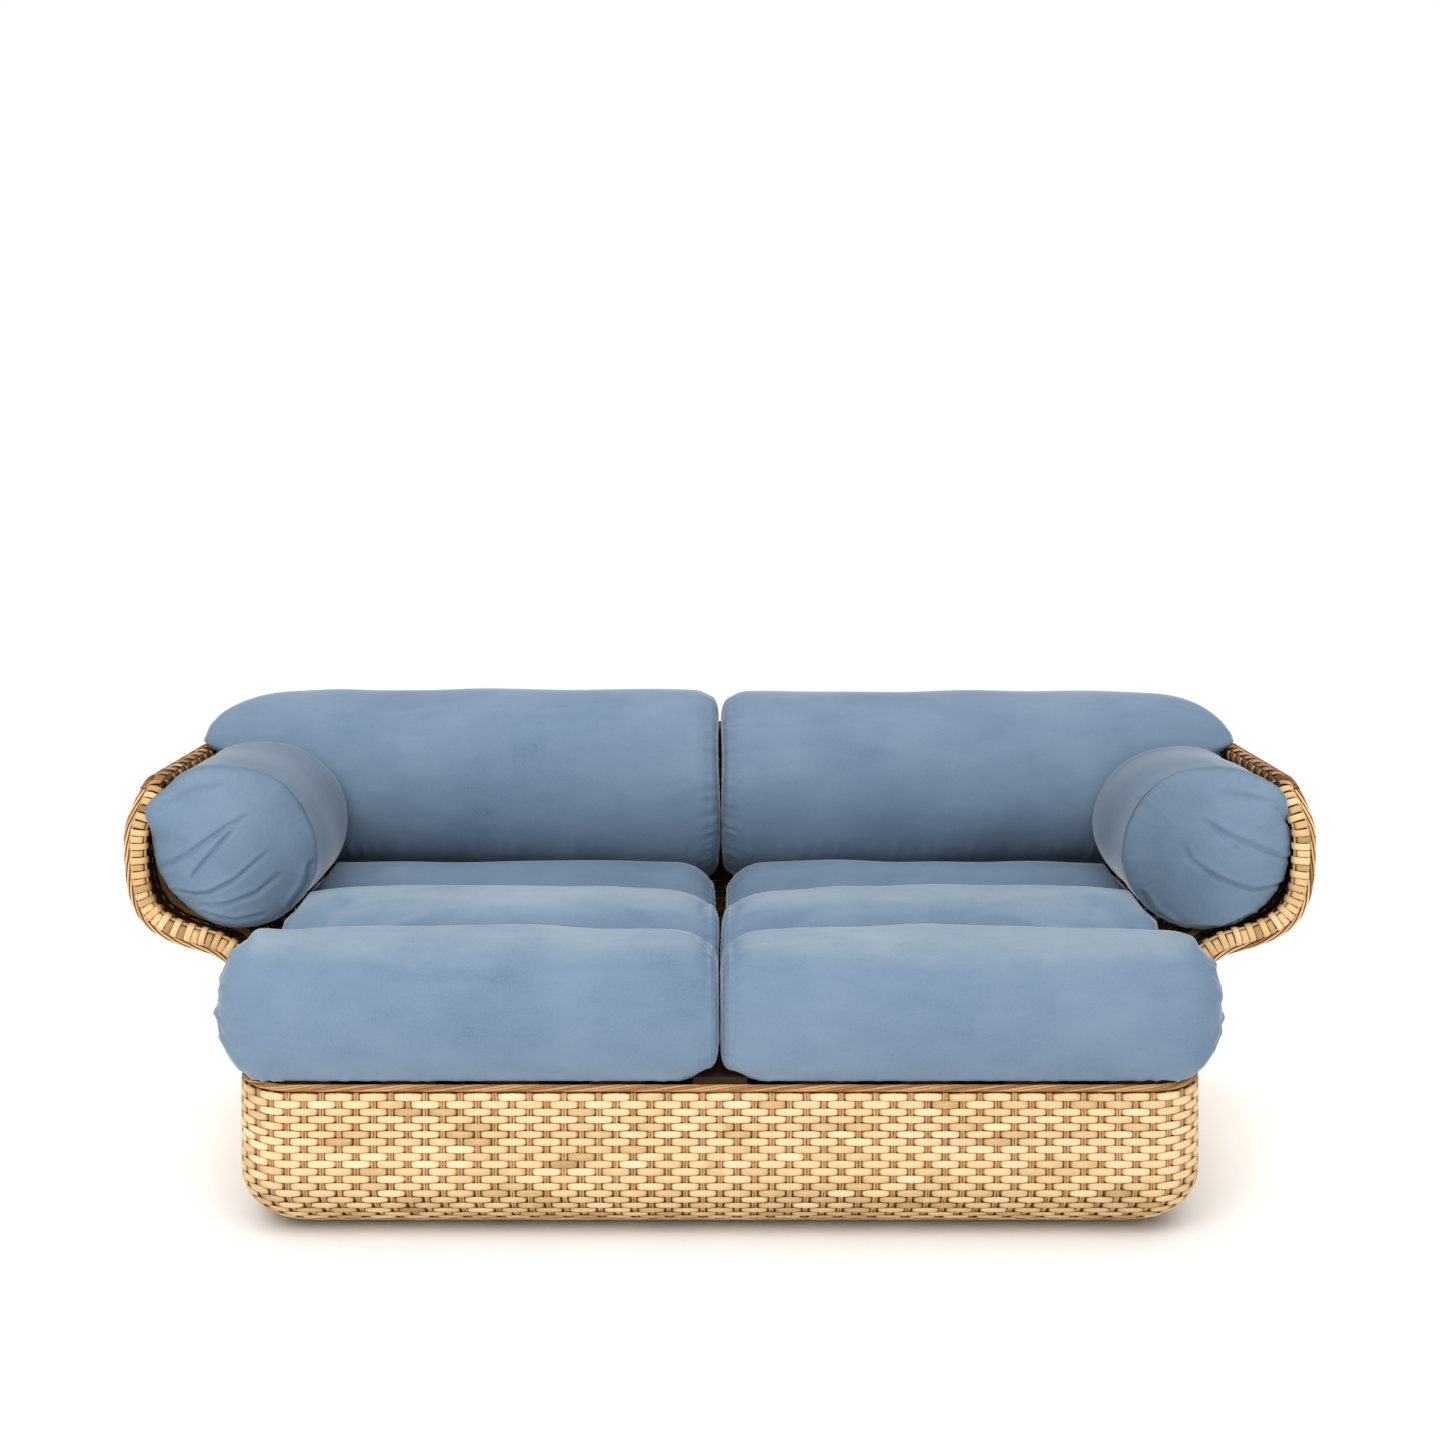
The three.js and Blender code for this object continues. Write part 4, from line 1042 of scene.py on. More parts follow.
def band_top(strands, rim, begin):
    """A top rim: long pads side by side in two rows, half a pad apart, with thin strands slanting between."""
    inset_low, inset_high = SLIP_INSET
    # The pads' and slips' low tones are painted shade
    for low, high, shift, base in PAD_ROWS:
        places = np.arange(begin + PAD_PITCH * shift, rim.length - PAD_LENGTH / 3, PAD_PITCH)
        count = len(places)
        width = PAD_LENGTH + rng.normal(0, PAD_SPREAD, count)
        tone = base + rng.normal(0, PAD_TONE_SPREAD, count)
        add_bands(strands, rim, places, width, low, high, PAD_LIFT, tone)
        first = begin + PAD_PITCH * (shift - 0.5) + SLIP_START
        between = np.arange(first, rim.length - SLIP_START, PAD_PITCH)
        for side in (-SLIP_BESIDE, SLIP_BESIDE):
            tone = SLIP_TONE + rng.normal(0, SLIP_TONE_SPREAD, len(between))
            add_slips(strands, rim, between + side, low + inset_low, high - inset_high, tone)


def wrapped(strands, name, material, node):
    """Makes the strands a piece of the basket's wrapping, in the place of a CAD node."""
    strands.make(name, material, "basket", [node])


def rim_pieces(name, rim, border, front_end):
    """One rim: a core, its bands, and long strands twisted along its outer side."""
    strands = Strands()
    # A dark core under the bands: painted shade in the gaps between them
    rod = Rim(rim.points - rim.edge * CORE_SET_BACK, rim.along, rim.outward, rim.edge)
    add_core_rod(strands, rod, *CORE_HALF_SIZE, RIM_CORE_TONE)
    if front_end > 0:
        band_front(strands, rim, front_end)
    band_top(strands, rim, front_end)
    wrapped(strands, f"{name}_bands", wrapped_cane, f"{name}_rim")
    cable = Strands()
    add_core_rod(cable, border, BORDER_CORE, BORDER_CORE, HIDDEN_TONE)
    if front_end > 0:
        add_cable(cable, border.part(0, front_end), *FRONT_CABLE)
    add_cable(cable, border.part(front_end, border.length), *TOP_CABLE)
    wrapped(cable, f"{name}_border_strands", wrapped_cane, f"{name}_border")


def make_rims():
    """The arms' rims with their borders, and the rim that joins them across the back."""
    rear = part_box("right_rim")[1][1]
    line = arm_line(RIM_DEPTH, rear)
    border = arm_line(BORDER_DEPTH, rear)
    for label, mirrored in (("left", True), ("right", False)):
        rim_pieces(label, Rim.on_wall(*line, mirrored), Rim.on_wall(*border, mirrored), FRONT_END)
    rim_pieces("back", Rim.on_wall(*back_line(RIM_DEPTH)), Rim.on_wall(*back_line(BORDER_DEPTH)), 0)


def make_front_rim():
    """Thin strands twisted at a small angle along the top of the tub's front wall."""
    reach = TUB_PLAN.way[2] + FRONT_ROW_RUN
    way = np.arange(-reach, reach, RIM_STEP)
    spot, out = TUB_PLAN.at(way, BRAID_OFFSET)
    points = np.concatenate([spot, np.full((len(spot), 1), BRAID_HEIGHT)], 1)
    rim = Rim.on_wall(points, np.concatenate([out, np.zeros((len(out), 1))], 1))
    strands = Strands()
    add_core_rod(strands, rim, BRAID_CORE, BRAID_CORE, HIDDEN_TONE)
    add_cable(strands, rim, *BRAID_CABLE)
    wrapped(strands, "front_rim_braid", braid, "front_rim")


make_rims()
make_front_rim()


# Cushions

SEAT_VOXEL = 0.0068
BACK_VOXEL = 0.0078
BOLSTER_VOXEL = 0.0047
SWELL_ROOM = 0.004
SWELL_CAP = 0.008
PRESSURE = 4.0
LAST_FRAME = 20
STRETCH_STIFFNESS = 15
BEND_STIFFNESS = 0.3
CLOTH_QUALITY = 4
SMOOTHING = 0.5
# How near to its tip a roll's rings go, as shares of its dome and of its rounding
TIP_SHARE = 0.992
START_SHARE = 0.999

# Folds: how far each strays as a share of the spacing, and the least share of the full height
STRAY_SHARE = 0.35
LEAST_SHARE = 0.2
# Lumps: how many waves there are, and how long in metres
WAVES = 8
WAVE_LENGTHS = (0.10, 0.30)
# A cap's fold: how fast it starts and ends, and its lip's place, width, height and height on the lower side
FOLD_START = 3.0
FOLD_END = 6.0
FOLD_TAIL_SHARE = 1.04
LIP_PLACE_SHARE = 1.7
LIP_WIDTH_SHARE = 1.1
LIP_HEIGHT_SHARE = 0.55
LOWER_LIP_SHARE = 0.25
END_PANEL_DEPTH = 0.011
REAR_PANEL_DEPTH = 0.004
HELD_HEIGHT = 0.004
CHANNEL_HALF_WIDTH = 0.010
CHANNEL_TOP = 0.345

# The seat: the middle of each roll (y, z), its radius, its end, its dome's depth and its squareness,
# and where it starts beside the middle of the sofa and over what run it is drawn in there
SEAT_FLOOR = 0.2223
ROLL_START = 0.003
SEAT_ROLLS = (
    (-0.3440, 0.3213, 0.101, 0.726, 0.076, 5.0, 0.003, 0.062),
    (-0.1426, 0.3253, 0.105, 0.688, 0.034, 2.8, 0.003, 0.088),
    (0.0588, 0.3233, 0.103, 0.688, 0.034, 2.8, 0.010, 0.064),
)
DRAWN_ABOVE = 0.052
DRAWN_BELOW = 0.030
FRONT_SAG = 0.0056
PAD_LOW = (0.037, -0.344, 0.2223)
PAD_HIGH = (0.654, 0.0588, 0.3143)

# The seat's gathers and folds. Folds are a height, a spacing and a width, places a middle and a width, and
# runs a start and an end, along X, up Z, or to the front from the middle
SEAT_LUMPS = 0.004
CLEAR_RUN = (SEAT_FLOOR + 0.006, SEAT_FLOOR + 0.02)
GATHER_RADIUS = 0.1
ROLL_SHIFT = 0.7
SEAM_GATHERS = (0.0024, 0.013, 0.0044)
SEAM_PLACE = (0.018, 0.016)
PLEAT_RADIUS = 0.08
PLEATS = (0.0026, 0.013, 0.0042)
PLEAT_RUN = (0.680, 0.716)
PLEAT_FRONT_RUN = (0.24, 0.27)
EAR_RUN = (0.640, 0.672)
EAR_HALF_HEIGHT = 0.0052
EAR_PLACE = (-0.352, 0.034)
LOWER_PLACE = (SEAT_FLOOR + 0.002, 0.016)
LOWER_FRONT_RUN = (0.40, 0.42)
PUCKERS = (0.0042, 0.016, 0.0048)
PUCKER_MEAN = 0.4
PUCKER_RUN = (0.54, 0.64)
LOWER_FOLDS = (0.0012, 0.030, 0.006)
SAG_RUN = (0.428, 0.442)
SAG_PLACE = (SEAT_FLOOR, 0.030)
# Where the bolster lies on the seat, from the front to the rear
BOLSTER_SHADOW = (-0.214, 0.110)

# The back roll, and the rim that it keeps inside
BACK_REAR = 0.4026
BACK_DEPTH = 0.306
BACK_END = 0.8685
BACK_FILLET = 0.044
BACK_MIDDLE = 0.5268
BACK_UP = 0.157
BACK_DOWN = 0.177
BACK_CORNER_LIFT = 0.030
BACK_REAR_CORNER = 0.215
BACK_FRONT_CORNER = 0.048
BACK_END_DOME = 0.030
BACK_TOP_DOME = 0.100
LEFT_TOP_DROP = 0.080
RIGHT_TOP_DROP = 0.096
BACK_BULGE = 0.030
BACK_BULGE_FOOT = 0.590
BACK_BULGE_RUN = (0.74, 0.865)
BACK_BULGE_RISE = 0.020
RIM_LINE = (0.8892, 0.5940)
RIM_ROOM = 0.0165
RIM_REAR = 0.2
BACK_LUMPS = 0.005
BACK_GATHER_RADIUS = 0.16
BACK_SEAM_GATHERS = (0.0024, 0.014, 0.0048)
BACK_SEAM_PLACE = (0.016, 0.016)
BACK_FOOT_PLACE = (0.420, 0.022)
BACK_FOOT_DEPTH = 0.05
BACK_FOOT_FOLDS = (0.0026, 0.026, 0.0055)
BACK_END_GATHERS = (0.0016, 0.018, 0.0055)
BACK_END_RUN = (0.835, 0.862)

# The bolster
BOLSTER_X = 0.7577
BOLSTER_Z = 0.4869
BOLSTER_FRONT = -0.204
BOLSTER_REAR = 0.0935
BOLSTER_HALF_WIDTH = 0.129
BOLSTER_UP = 0.134
BOLSTER_DOWN = 0.120
BOLSTER_DOME = 0.044
CAP_SLANT = 0.020
BOLSTER_FILLET = 0.022
BOLSTER_ROOM = 0.1312
EAR_LEAN = 0.018
BOLSTER_LUMPS = 0.004
BOLSTER_GATHER_RADIUS = 0.129
CAP_RUN = (0.150, 0.172)
CAP_GATHERS = (0.0018, 0.016, 0.0040)
CAP_GATHER_PLACE = (-0.178, 0.014)
CAP_OUTER_TURN = 0.4
CAP_OUTER_RUN = (-0.2, 0.6)
CAP_INNER_SHARE = 0.35
ROUND_FOLDS = (0.0010, 0.030, 0.006)
ROUND_FOLD_PLACE = (-0.150, 0.045)
SWELL_RUN = (0.04, 0.11)
EAR_FRONT_RUN = (0.135, 0.170)
DRAW_RUN = (0.10, 0.18)
SLANT_RUN = (-0.05, 0.12)
SINK_RUN = (-0.10, 0.06)
MILLIMETRE = 0.001

# Folds of the bolsters' caps: points in millimetres from the middle, outwards and up, with depth and width
LEFT_FOLDS = (
    (((103, 90), (118, 64), (128, 40)), 4.2, 4.6),
    (((2, 107), (51, 90), (104, 58)), 3.4, 5.0),
    (((-31, 67), (3, 48), (58, 9), (118, -17)), 4.4, 3.8),
    (((-21, 59), (19, 13), (59, -32)), 4.4, 3.8),
    (((-63, 12), (-15, -30), (31, -54), (66, -64), (104, -59)), 4.8, 3.8),
    (((-79, -25), (-43, -55), (4, -73), (48, -84)), 3.6, 4.4),
    (((-54, -92), (-7, -101), (48, -97)), 4.2, 3.8),
    (((-121, -10), (-112, -48), (-90, -80)), 6.0, 4.6),
)
RIGHT_FOLDS = (
    (((12, 98), (54, 82), (100, 60), (130, 42)), 4.2, 4.2),
    (((-18, 61), (28, 35), (71, 17), (128, -5)), 4.6, 3.8),
    (((-14, -18), (29, -37), (72, -52), (122, -46)), 4.6, 3.8),
    (((-28, -114), (22, -116), (72, -96)), 4.0, 3.8),
    (((-103, -56), (-83, -88), (-49, -112)), 6.0, 4.6),
    (((-46, 24), (-34, -2), (10, -32)), 3.2, 4.6),
    (((-2, 56), (22, 30), (34, 16)), 2.6, 4.6),
)
# Where a bolster's section swells, has an ear and is drawn in: its size, and the angle in degrees from
# straight outwards to straight up; then how far its rear top sinks
LEFT_SECTION = ((0.015, 54, 28), (0.014, 31, 11), (0.017, -42, 42), 0.0)
RIGHT_SECTION = ((0.014, 50, 30), (0.010, 42, 12), (0.008, -50, 40), 0.008)
# Ears that the gathers push out at the front roll's outer end: height, and millimetres that each stands out
LEFT_EARS = ((0.306, 6.5), (0.274, 6.5), (0.352, 2.4), (0.385, 5.0), (0.412, 9.0), (0.240, 4.0))
RIGHT_EARS = (
    (0.301, 6.0),
    (0.262, 4.5),
    (0.338, 3.0),
    (0.372, 6.0),
    (0.405, 6.0),
    (0.283, 6.0),
    (0.236, 3.6),
)
RIGHT_BACK_SINK = 0.002

# Painted light on the velvet: painted highlights on the front rolls' crests and undersides, painted shade on
# the rearmost rolls and the bolsters: by how much, and over which runs
UNPAINTED_SHARE = 0.5
CREST_HIGHLIGHT = 0.5
CREST_RUN = (0.70, 1.0)
CREST_REAR_RUN = (-0.10, 0.0)
UNDERSIDE_HIGHLIGHT = 0.2
UNDER_RUN = (0.2, 0.8)
UNDER_FRONT_RUN = (0.2, 0.3)
REAR_ROLL_SHADE = 0.35
REAR_ROLL_RUN = (-0.08, 0.0)
ROUND_SHADE = 0.5
ROUND_RUN = (0.162, 0.180)
CAP_SHADE_SHARE = 0.7
CAP_SHADE_RUN = (-0.03, 0.09)


def roll_places(start, end, count):
    """Stations along a roll, close together at its two ends: half a cosine wave."""
    return start + (end - start) * (1 - np.cos(math.pi * np.linspace(0, 1, count))) / 2


def openness(at, end, depth):
    """How wide a roll still is near its end: sqrt(1 - s^2), with s from 0 to 1 over a depth."""
    past = np.clip(at - end + depth, 0, depth) / depth
    return np.sqrt(1 - np.minimum(past, TIP_SHARE) ** 2)


def closing(at, start, run):
    """The share that a roll is rounded in at its start: 1 - sqrt(1 - t^2), t from 1 to 0 over a run."""
    left = np.clip(start + run - at, 0, run) / run
    return 1 - np.sqrt(1 - np.minimum(left, START_SHARE) ** 2)


def seat_roll(y, z, radius, end, dome, squareness, start, run, count=90, sides=96):
    """Rings of a roll along X, round above.

    Below it follows |cos|^p, |sin|^p with p = 2 / squareness, less at its tip. Its end beside the middle of
    the sofa is drawn in more above than below."""
    at = roll_places(start, end, count)[:, None]
    share = openness(at, end, dome)
    turn = np.arange(sides) * 2 * math.pi / sides
    drawn = DRAWN_BELOW + (DRAWN_ABOVE - DRAWN_BELOW) * np.clip(np.sin(turn), 0, 1)
    reach = (radius - drawn * closing(at, start, run)) * share
    exponent = np.where(turn > math.pi, 1 + (2 / squareness - 1) * share, 1.0)
    across = reach * power(np.cos(turn), exponent)
    up = np.maximum(z + reach * power(np.sin(turn), exponent), SEAT_FLOOR)
    return np.stack([at + 0 * across, y + across, up], -1)


def back_roll(top_drop, count=100, sides=110):
    """Rings of a back roll along X, whose plan follows the rear corner of the basket."""
    at = roll_places(ROLL_START, BACK_END, count)[:, None]
    closed = BACK_FILLET * closing(at, ROLL_START, BACK_FILLET)
    rear = BACK_REAR - BACK_REAR_CORNER * (1 - openness(at, BACK_END, BACK_REAR_CORNER)) - closed
    front = BACK_FRONT_CORNER * (1 - openness(at, BACK_END, BACK_FRONT_CORNER))
    front = BACK_REAR - BACK_DEPTH + closed + front
    outer = np.clip((at - BACK_FILLET) / (BACK_END - BACK_REAR_CORNER - BACK_FILLET), 0, 1)
    up = BACK_UP - closed - top_drop * (1 - openness(at, BACK_END, BACK_TOP_DOME))
    down = (BACK_DOWN - BACK_CORNER_LIFT * outer - closed) * openness(at, BACK_END, BACK_END_DOME)
    turn = np.arange(sides) * 2 * math.pi / sides
    y = (rear + front) / 2 + (rear - front) / 2 * np.cos(turn)
    z = BACK_MIDDLE + np.where(turn > math.pi, down, up) * np.sin(turn)
    return np.stack([at + 0 * y, y, z], -1)


def bolster_roll(count=90, sides=96):
    """Rings of a bolster along -Y, a little wider above than below."""
    at = roll_places(-BOLSTER_REAR, -BOLSTER_FRONT, count)[:, None]
    share = openness(at, -BOLSTER_FRONT, BOLSTER_DOME)
    closed = BOLSTER_FILLET * closing(at, -BOLSTER_REAR, BOLSTER_FILLET)
    turn = np.arange(sides) * 2 * math.pi / sides
    up = np.where(turn > math.pi, BOLSTER_DOWN, BOLSTER_UP) - closed
    x = BOLSTER_X + (BOLSTER_HALF_WIDTH - closed) * share * np.cos(turn)
    return np.stack([x, -at + 0 * x, BOLSTER_Z + up * share * np.sin(turn)], -1)


def seat_pad():
    """The pad that the rolls are sewn to, as rings of four corners along X."""
    corner_shares = np.array([(0, 0), (1, 0), (1, 1), (0, 1)])
    low, high = np.array(PAD_LOW), np.array(PAD_HIGH)
    corners = low[1:] + (high[1:] - low[1:]) * corner_shares
    return np.stack([np.insert(corners, 0, x, axis=1) for x in (low[0], high[0])])


def skins(name, shells, side):
    """One mesh of several closed skins over rings, mirrored for the left side, with faces outwards."""
    points, quads, caps, count = [], [], [], 0
    for rings in shells:
        sides = rings.shape[1]
        mesh_quads, mesh_caps = faces_of(1, len(rings), sides, False, count)
        flat = rings.reshape(-1, 3) * [side, 1, 1]
        mesh_quads, mesh_caps = outwards(flat, mesh_quads - count, mesh_caps - count)
        points.append(flat)
        quads.append(mesh_quads + count)
        caps.append(mesh_caps + count)
        count += len(flat)
    return mesh_piece(name, np.concatenate(points), [np.concatenate(quads), *caps], velvet, None)


def outwards(points, quads, caps):
    """Turns faces round where they face inwards."""
    return (quads[:, ::-1], caps[:, ::-1]) if signed_volume(points, quads) < 0 else (quads, caps)


def read_points(mesh, kind="co"):
    """A mesh's points, or another vector that each of its vertices has."""
    points = np.empty(len(mesh.vertices) * 3, np.float32)
    mesh.vertices.foreach_get(kind, points)
    return points.reshape(-1, 3).astype(float)


def write_points(mesh, points):
    """Moves a mesh's vertices to the points."""
    mesh.vertices.foreach_set("co", points.astype(np.float32).ravel())
    mesh.update()


def modified(shape, kind, **settings):
    """Puts one modifier on an object and replaces its mesh by what it makes."""
    modifier = shape.modifiers.new("step", kind)
    for key, value in settings.items():
        setattr(modifier, key, value)
    graph = bpy.context.evaluated_depsgraph_get()
    mesh = bpy.data.meshes.new_from_object(shape.evaluated_get(graph))
    old = shape.data
    shape.modifiers.clear()
    shape.data = mesh
    bpy.data.meshes.remove(old)


def inflate(shape, held):
    """Blows the skin up with cloth, held where held is 1, and limits how far each point moves."""
    start = read_points(shape.data)
    group = shape.vertex_groups.new(name="held")
    group.add(np.flatnonzero(held > 0).tolist(), 1.0, "REPLACE")
    cloth = shape.modifiers.new("skin", "CLOTH")
    cloth.settings.use_pressure = True
    cloth.settings.uniform_pressure_force = PRESSURE
    cloth.settings.effector_weights.gravity = 0
    cloth.settings.vertex_group_mass = "held"
    cloth.settings.quality = CLOTH_QUALITY
    cloth.settings.tension_stiffness = STRETCH_STIFFNESS
    cloth.settings.compression_stiffness = STRETCH_STIFFNESS
    cloth.settings.bending_stiffness = BEND_STIFFNESS
    cloth.collision_settings.use_collision = False
    cloth.point_cache.frame_start = 1
    cloth.point_cache.frame_end = LAST_FRAME
    for number in range(1, LAST_FRAME + 1):
        bpy.context.scene.frame_set(number)
    graph = bpy.context.evaluated_depsgraph_get()
    moved = read_points(shape.evaluated_get(graph).data)
    shape.modifiers.clear()
    shape.vertex_groups.clear()
    bpy.context.scene.frame_set(1)
    shift = moved - start
    far = np.linalg.norm(shift, axis=1, keepdims=True)
    write_points(shape.data, start + shift * np.minimum(1, SWELL_CAP / np.maximum(far, 1e-9)))


def fitted(points, low, high):
    """Stretched a little along each axis so that the box of the points is the given one."""
    least, most = points.min(0), points.max(0)
    return low + (points - least) / (most - least) * (np.array(high) - low)


def ruffle(way, height, spacing, width):
    """Narrow folds at uneven places along a way, each with its own share of the height."""
    low = way.min()
    count = int(np.ptp(way) / spacing)
    places = low + (np.arange(count) + 0.5 + rng.uniform(-STRAY_SHARE, STRAY_SHARE, count)) * spacing
    heights = rng.uniform(LEAST_SHARE, 1, count)
    return height * (heights * bump(way[:, None], places, width)).sum(1)


def lumps(points, depth):
    """Soft unevenness of stuffing: the mean of some waves sin(k . p + phase) of uneven lengths."""
    way = rng.normal(0, 1, (WAVES, 3))
    way = unit(way) * (2 * math.pi / rng.uniform(*WAVE_LENGTHS, (WAVES, 1)))
    phase = rng.uniform(0, 2 * math.pi, WAVES)
    return depth * np.sin(points @ way.T + phase).mean(1)


def kept_off(points, middle, axes, room, near):
    """Pushes points out of a round bar that runs past a middle, across the two given axes."""
    across = points[:, axes] - middle
    far = np.linalg.norm(across, axis=1)
    inside = near & (far < room)
    moved = points.copy()
    moved[np.ix_(inside, axes)] = middle + across[inside] / far[inside, None] * room
    return moved


def seat_held(points):
    """A seat is held at its underside, at its flat inner end, and down in the channels between its rolls."""
    channels = [(first[0] + second[0]) / 2 for first, second in zip(SEAT_ROLLS, SEAT_ROLLS[1:])]
    sewn = np.min([np.abs(points[:, 1] - y) for y in channels], 0) < CHANNEL_HALF_WIDTH
    low = points[:, 2] < SEAT_FLOOR + HELD_HEIGHT
    return (low | (end_held(points) > 0) | (sewn & (points[:, 2] < CHANNEL_TOP))).astype(float)


def end_held(points):
    """The flat panel sewn in at the end beside the middle of the sofa."""
    return (np.abs(points[:, 0]) < ROLL_START + END_PANEL_DEPTH).astype(float)


def rear_held(points):
    """The flat panel at a bolster's rear."""
    return (points[:, 1] > BOLSTER_REAR - REAR_PANEL_DEPTH).astype(float)


def seat_finish(points, normals, ears):
    """Gathers and ears at the outer end, small folds at the seams, and room for the bolster."""
    x, y, z = points.T
    number = np.argmin([np.abs(y - roll[0]) for roll in SEAT_ROLLS], 0)
    middle = np.array([roll[:2] for roll in SEAT_ROLLS])[number]
    turn = np.arctan2(z - middle[:, 1], y - middle[:, 0])
    above = eased_step(z, *CLEAR_RUN)
    out = lumps(points, SEAT_LUMPS) * above
    along = turn * GATHER_RADIUS + number * ROLL_SHIFT
    out += ruffle(along, *SEAM_GATHERS) * bump(x, *SEAM_PLACE) * above
    front = eased_step(-y, *PLEAT_FRONT_RUN)
    out += ruffle(turn * PLEAT_RADIUS, *PLEATS) * eased_step(x, *PLEAT_RUN) * front * above
    for height, reach in ears:
        edge = eased_step(x, *EAR_RUN) * bump(z, height, EAR_HALF_HEIGHT) * bump(y, *EAR_PLACE)
        out += MILLIMETRE * reach * edge
    lower = bump(z, *LOWER_PLACE) * eased_step(-y, *LOWER_FRONT_RUN)
    puckers = ruffle(x, *PUCKERS) - PUCKERS[0] * PUCKER_MEAN
    out += puckers * lower * eased_step(x, *PUCKER_RUN)
    out += ruffle(x, *LOWER_FOLDS) * lower
    moved = points + normals * out[:, None]
    moved[:, 2] = np.maximum(moved[:, 2], SEAT_FLOOR)
    moved[:, 2] -= FRONT_SAG * eased_step(-y, *SAG_RUN) * bump(z, *SAG_PLACE)
    under = (moved[:, 1] > BOLSTER_SHADOW[0]) & (moved[:, 1] < BOLSTER_SHADOW[1])
    return kept_off(moved, np.array([BOLSTER_X, BOLSTER_Z]), [0, 2], BOLSTER_ROOM, under)


def back_finish(points, normals):
    """Small folds at the inner seam and along the foot, and an end that swells over the arm's rim."""
    x, y, z = points.T
    middle = BACK_REAR - BACK_DEPTH / 2
    turn = np.arctan2(z - BACK_MIDDLE, y - middle)
    around = turn * BACK_GATHER_RADIUS
    out = lumps(points, BACK_LUMPS)
    out += ruffle(around, *BACK_SEAM_GATHERS) * bump(x, *BACK_SEAM_PLACE)
    foot = bump(z, *BACK_FOOT_PLACE) * eased_step(middle - y, 0, BACK_FOOT_DEPTH)
    out += ruffle(x, *BACK_FOOT_FOLDS) * foot
    out += ruffle(around, *BACK_END_GATHERS) * eased_step(x, *BACK_END_RUN)
    moved = points + normals * out[:, None]
    rise = eased_step(z, BACK_BULGE_FOOT, BACK_BULGE_FOOT + BACK_BULGE_RISE)
    moved[:, 0] += BACK_BULGE * eased_step(x, *BACK_BULGE_RUN) * rise
    return kept_off(moved, np.array(RIM_LINE), [0, 2], RIM_ROOM, moved[:, 1] < RIM_REAR)


def fold_along(points, line, depth, width):
    """A groove -depth exp(-(d / width)^2) along a line, and a lip of about half its depth above it."""
    nearest = np.full(len(points), np.inf)
    beside = np.zeros(len(points))
    run = np.zeros(len(points))
    line = np.array(line, float)
    for number, (a, b) in enumerate(zip(line, line[1:])):
        way = b - a
        share = np.clip((points - a) @ way / (way @ way), 0, 1)
        gap = points - a - share[:, None] * way
        far = np.linalg.norm(gap, axis=1)
        closer = far < nearest
        nearest = np.where(closer, far, nearest)
        beside = np.where(closer, gap @ np.array([-way[1], way[0]]) / np.linalg.norm(way), beside)
        run = np.where(closer, (number + share) / (len(line) - 1), run)
    fading = np.minimum(run * FOLD_START, (FOLD_TAIL_SHARE - run) * FOLD_END)
    fading = np.sqrt(np.clip(fading, 0, 1))
    groove = bump(nearest, 0, width)
    lip = bump(nearest, LIP_PLACE_SHARE * width, LIP_WIDTH_SHARE * width)
    lip *= np.where(beside * np.sign(way[0]) > 0, 1, LOWER_LIP_SHARE)
    return fading * depth * (LIP_HEIGHT_SHARE * lip - groove)


def bolster_finish(points, normals, folds, section):
    """The cap's folds, which fan from its outer side, the gathers round its edge, and the section's swell."""
    x, y, z = points.T
    cap = np.stack([x - BOLSTER_X, z - BOLSTER_Z], -1)
    far = np.linalg.norm(cap, axis=1)
    turn = np.arctan2(cap[:, 1], cap[:, 0])
    around = turn * BOLSTER_GATHER_RADIUS
    out = lumps(points, BOLSTER_LUMPS)
    front = eased_step(-y, *CAP_RUN)
    for line, depth, width in folds:
        out += MILLIMETRE * fold_along(cap / MILLIMETRE, line, depth, width) * front
    outer = eased_step(np.cos(turn - CAP_OUTER_TURN), *CAP_OUTER_RUN)
    outer = CAP_INNER_SHARE + (1 - CAP_INNER_SHARE) * outer
    out += ruffle(around, *CAP_GATHERS) * bump(y, *CAP_GATHER_PLACE) * outer
    out += ruffle(around, *ROUND_FOLDS) * bump(y, *ROUND_FOLD_PLACE)
    moved = points + normals * out[:, None]
    swell, ear, draw, sink = section
    degrees = np.degrees(turn)
    share = eased_step(far, *SWELL_RUN)
    tip = bump(degrees, *ear[1:]) * eased_step(-y, *EAR_FRONT_RUN) * share
    reach = swell[0] * bump(degrees, *swell[1:]) + ear[0] * tip
    reach -= draw[0] * bump(degrees, *draw[1:]) * eased_step(-y, *DRAW_RUN)
    moved[:, [0, 2]] += cap / far[:, None] * (share * reach)[:, None]
    moved[:, 1] += CAP_SLANT * eased_step(-cap[:, 0], *SLANT_RUN) * front - EAR_LEAN * tip
    moved[:, 2] -= sink * eased_step(y, *SINK_RUN) * eased_step(z, BOLSTER_Z, BOLSTER_Z + BOLSTER_UP)
    return moved


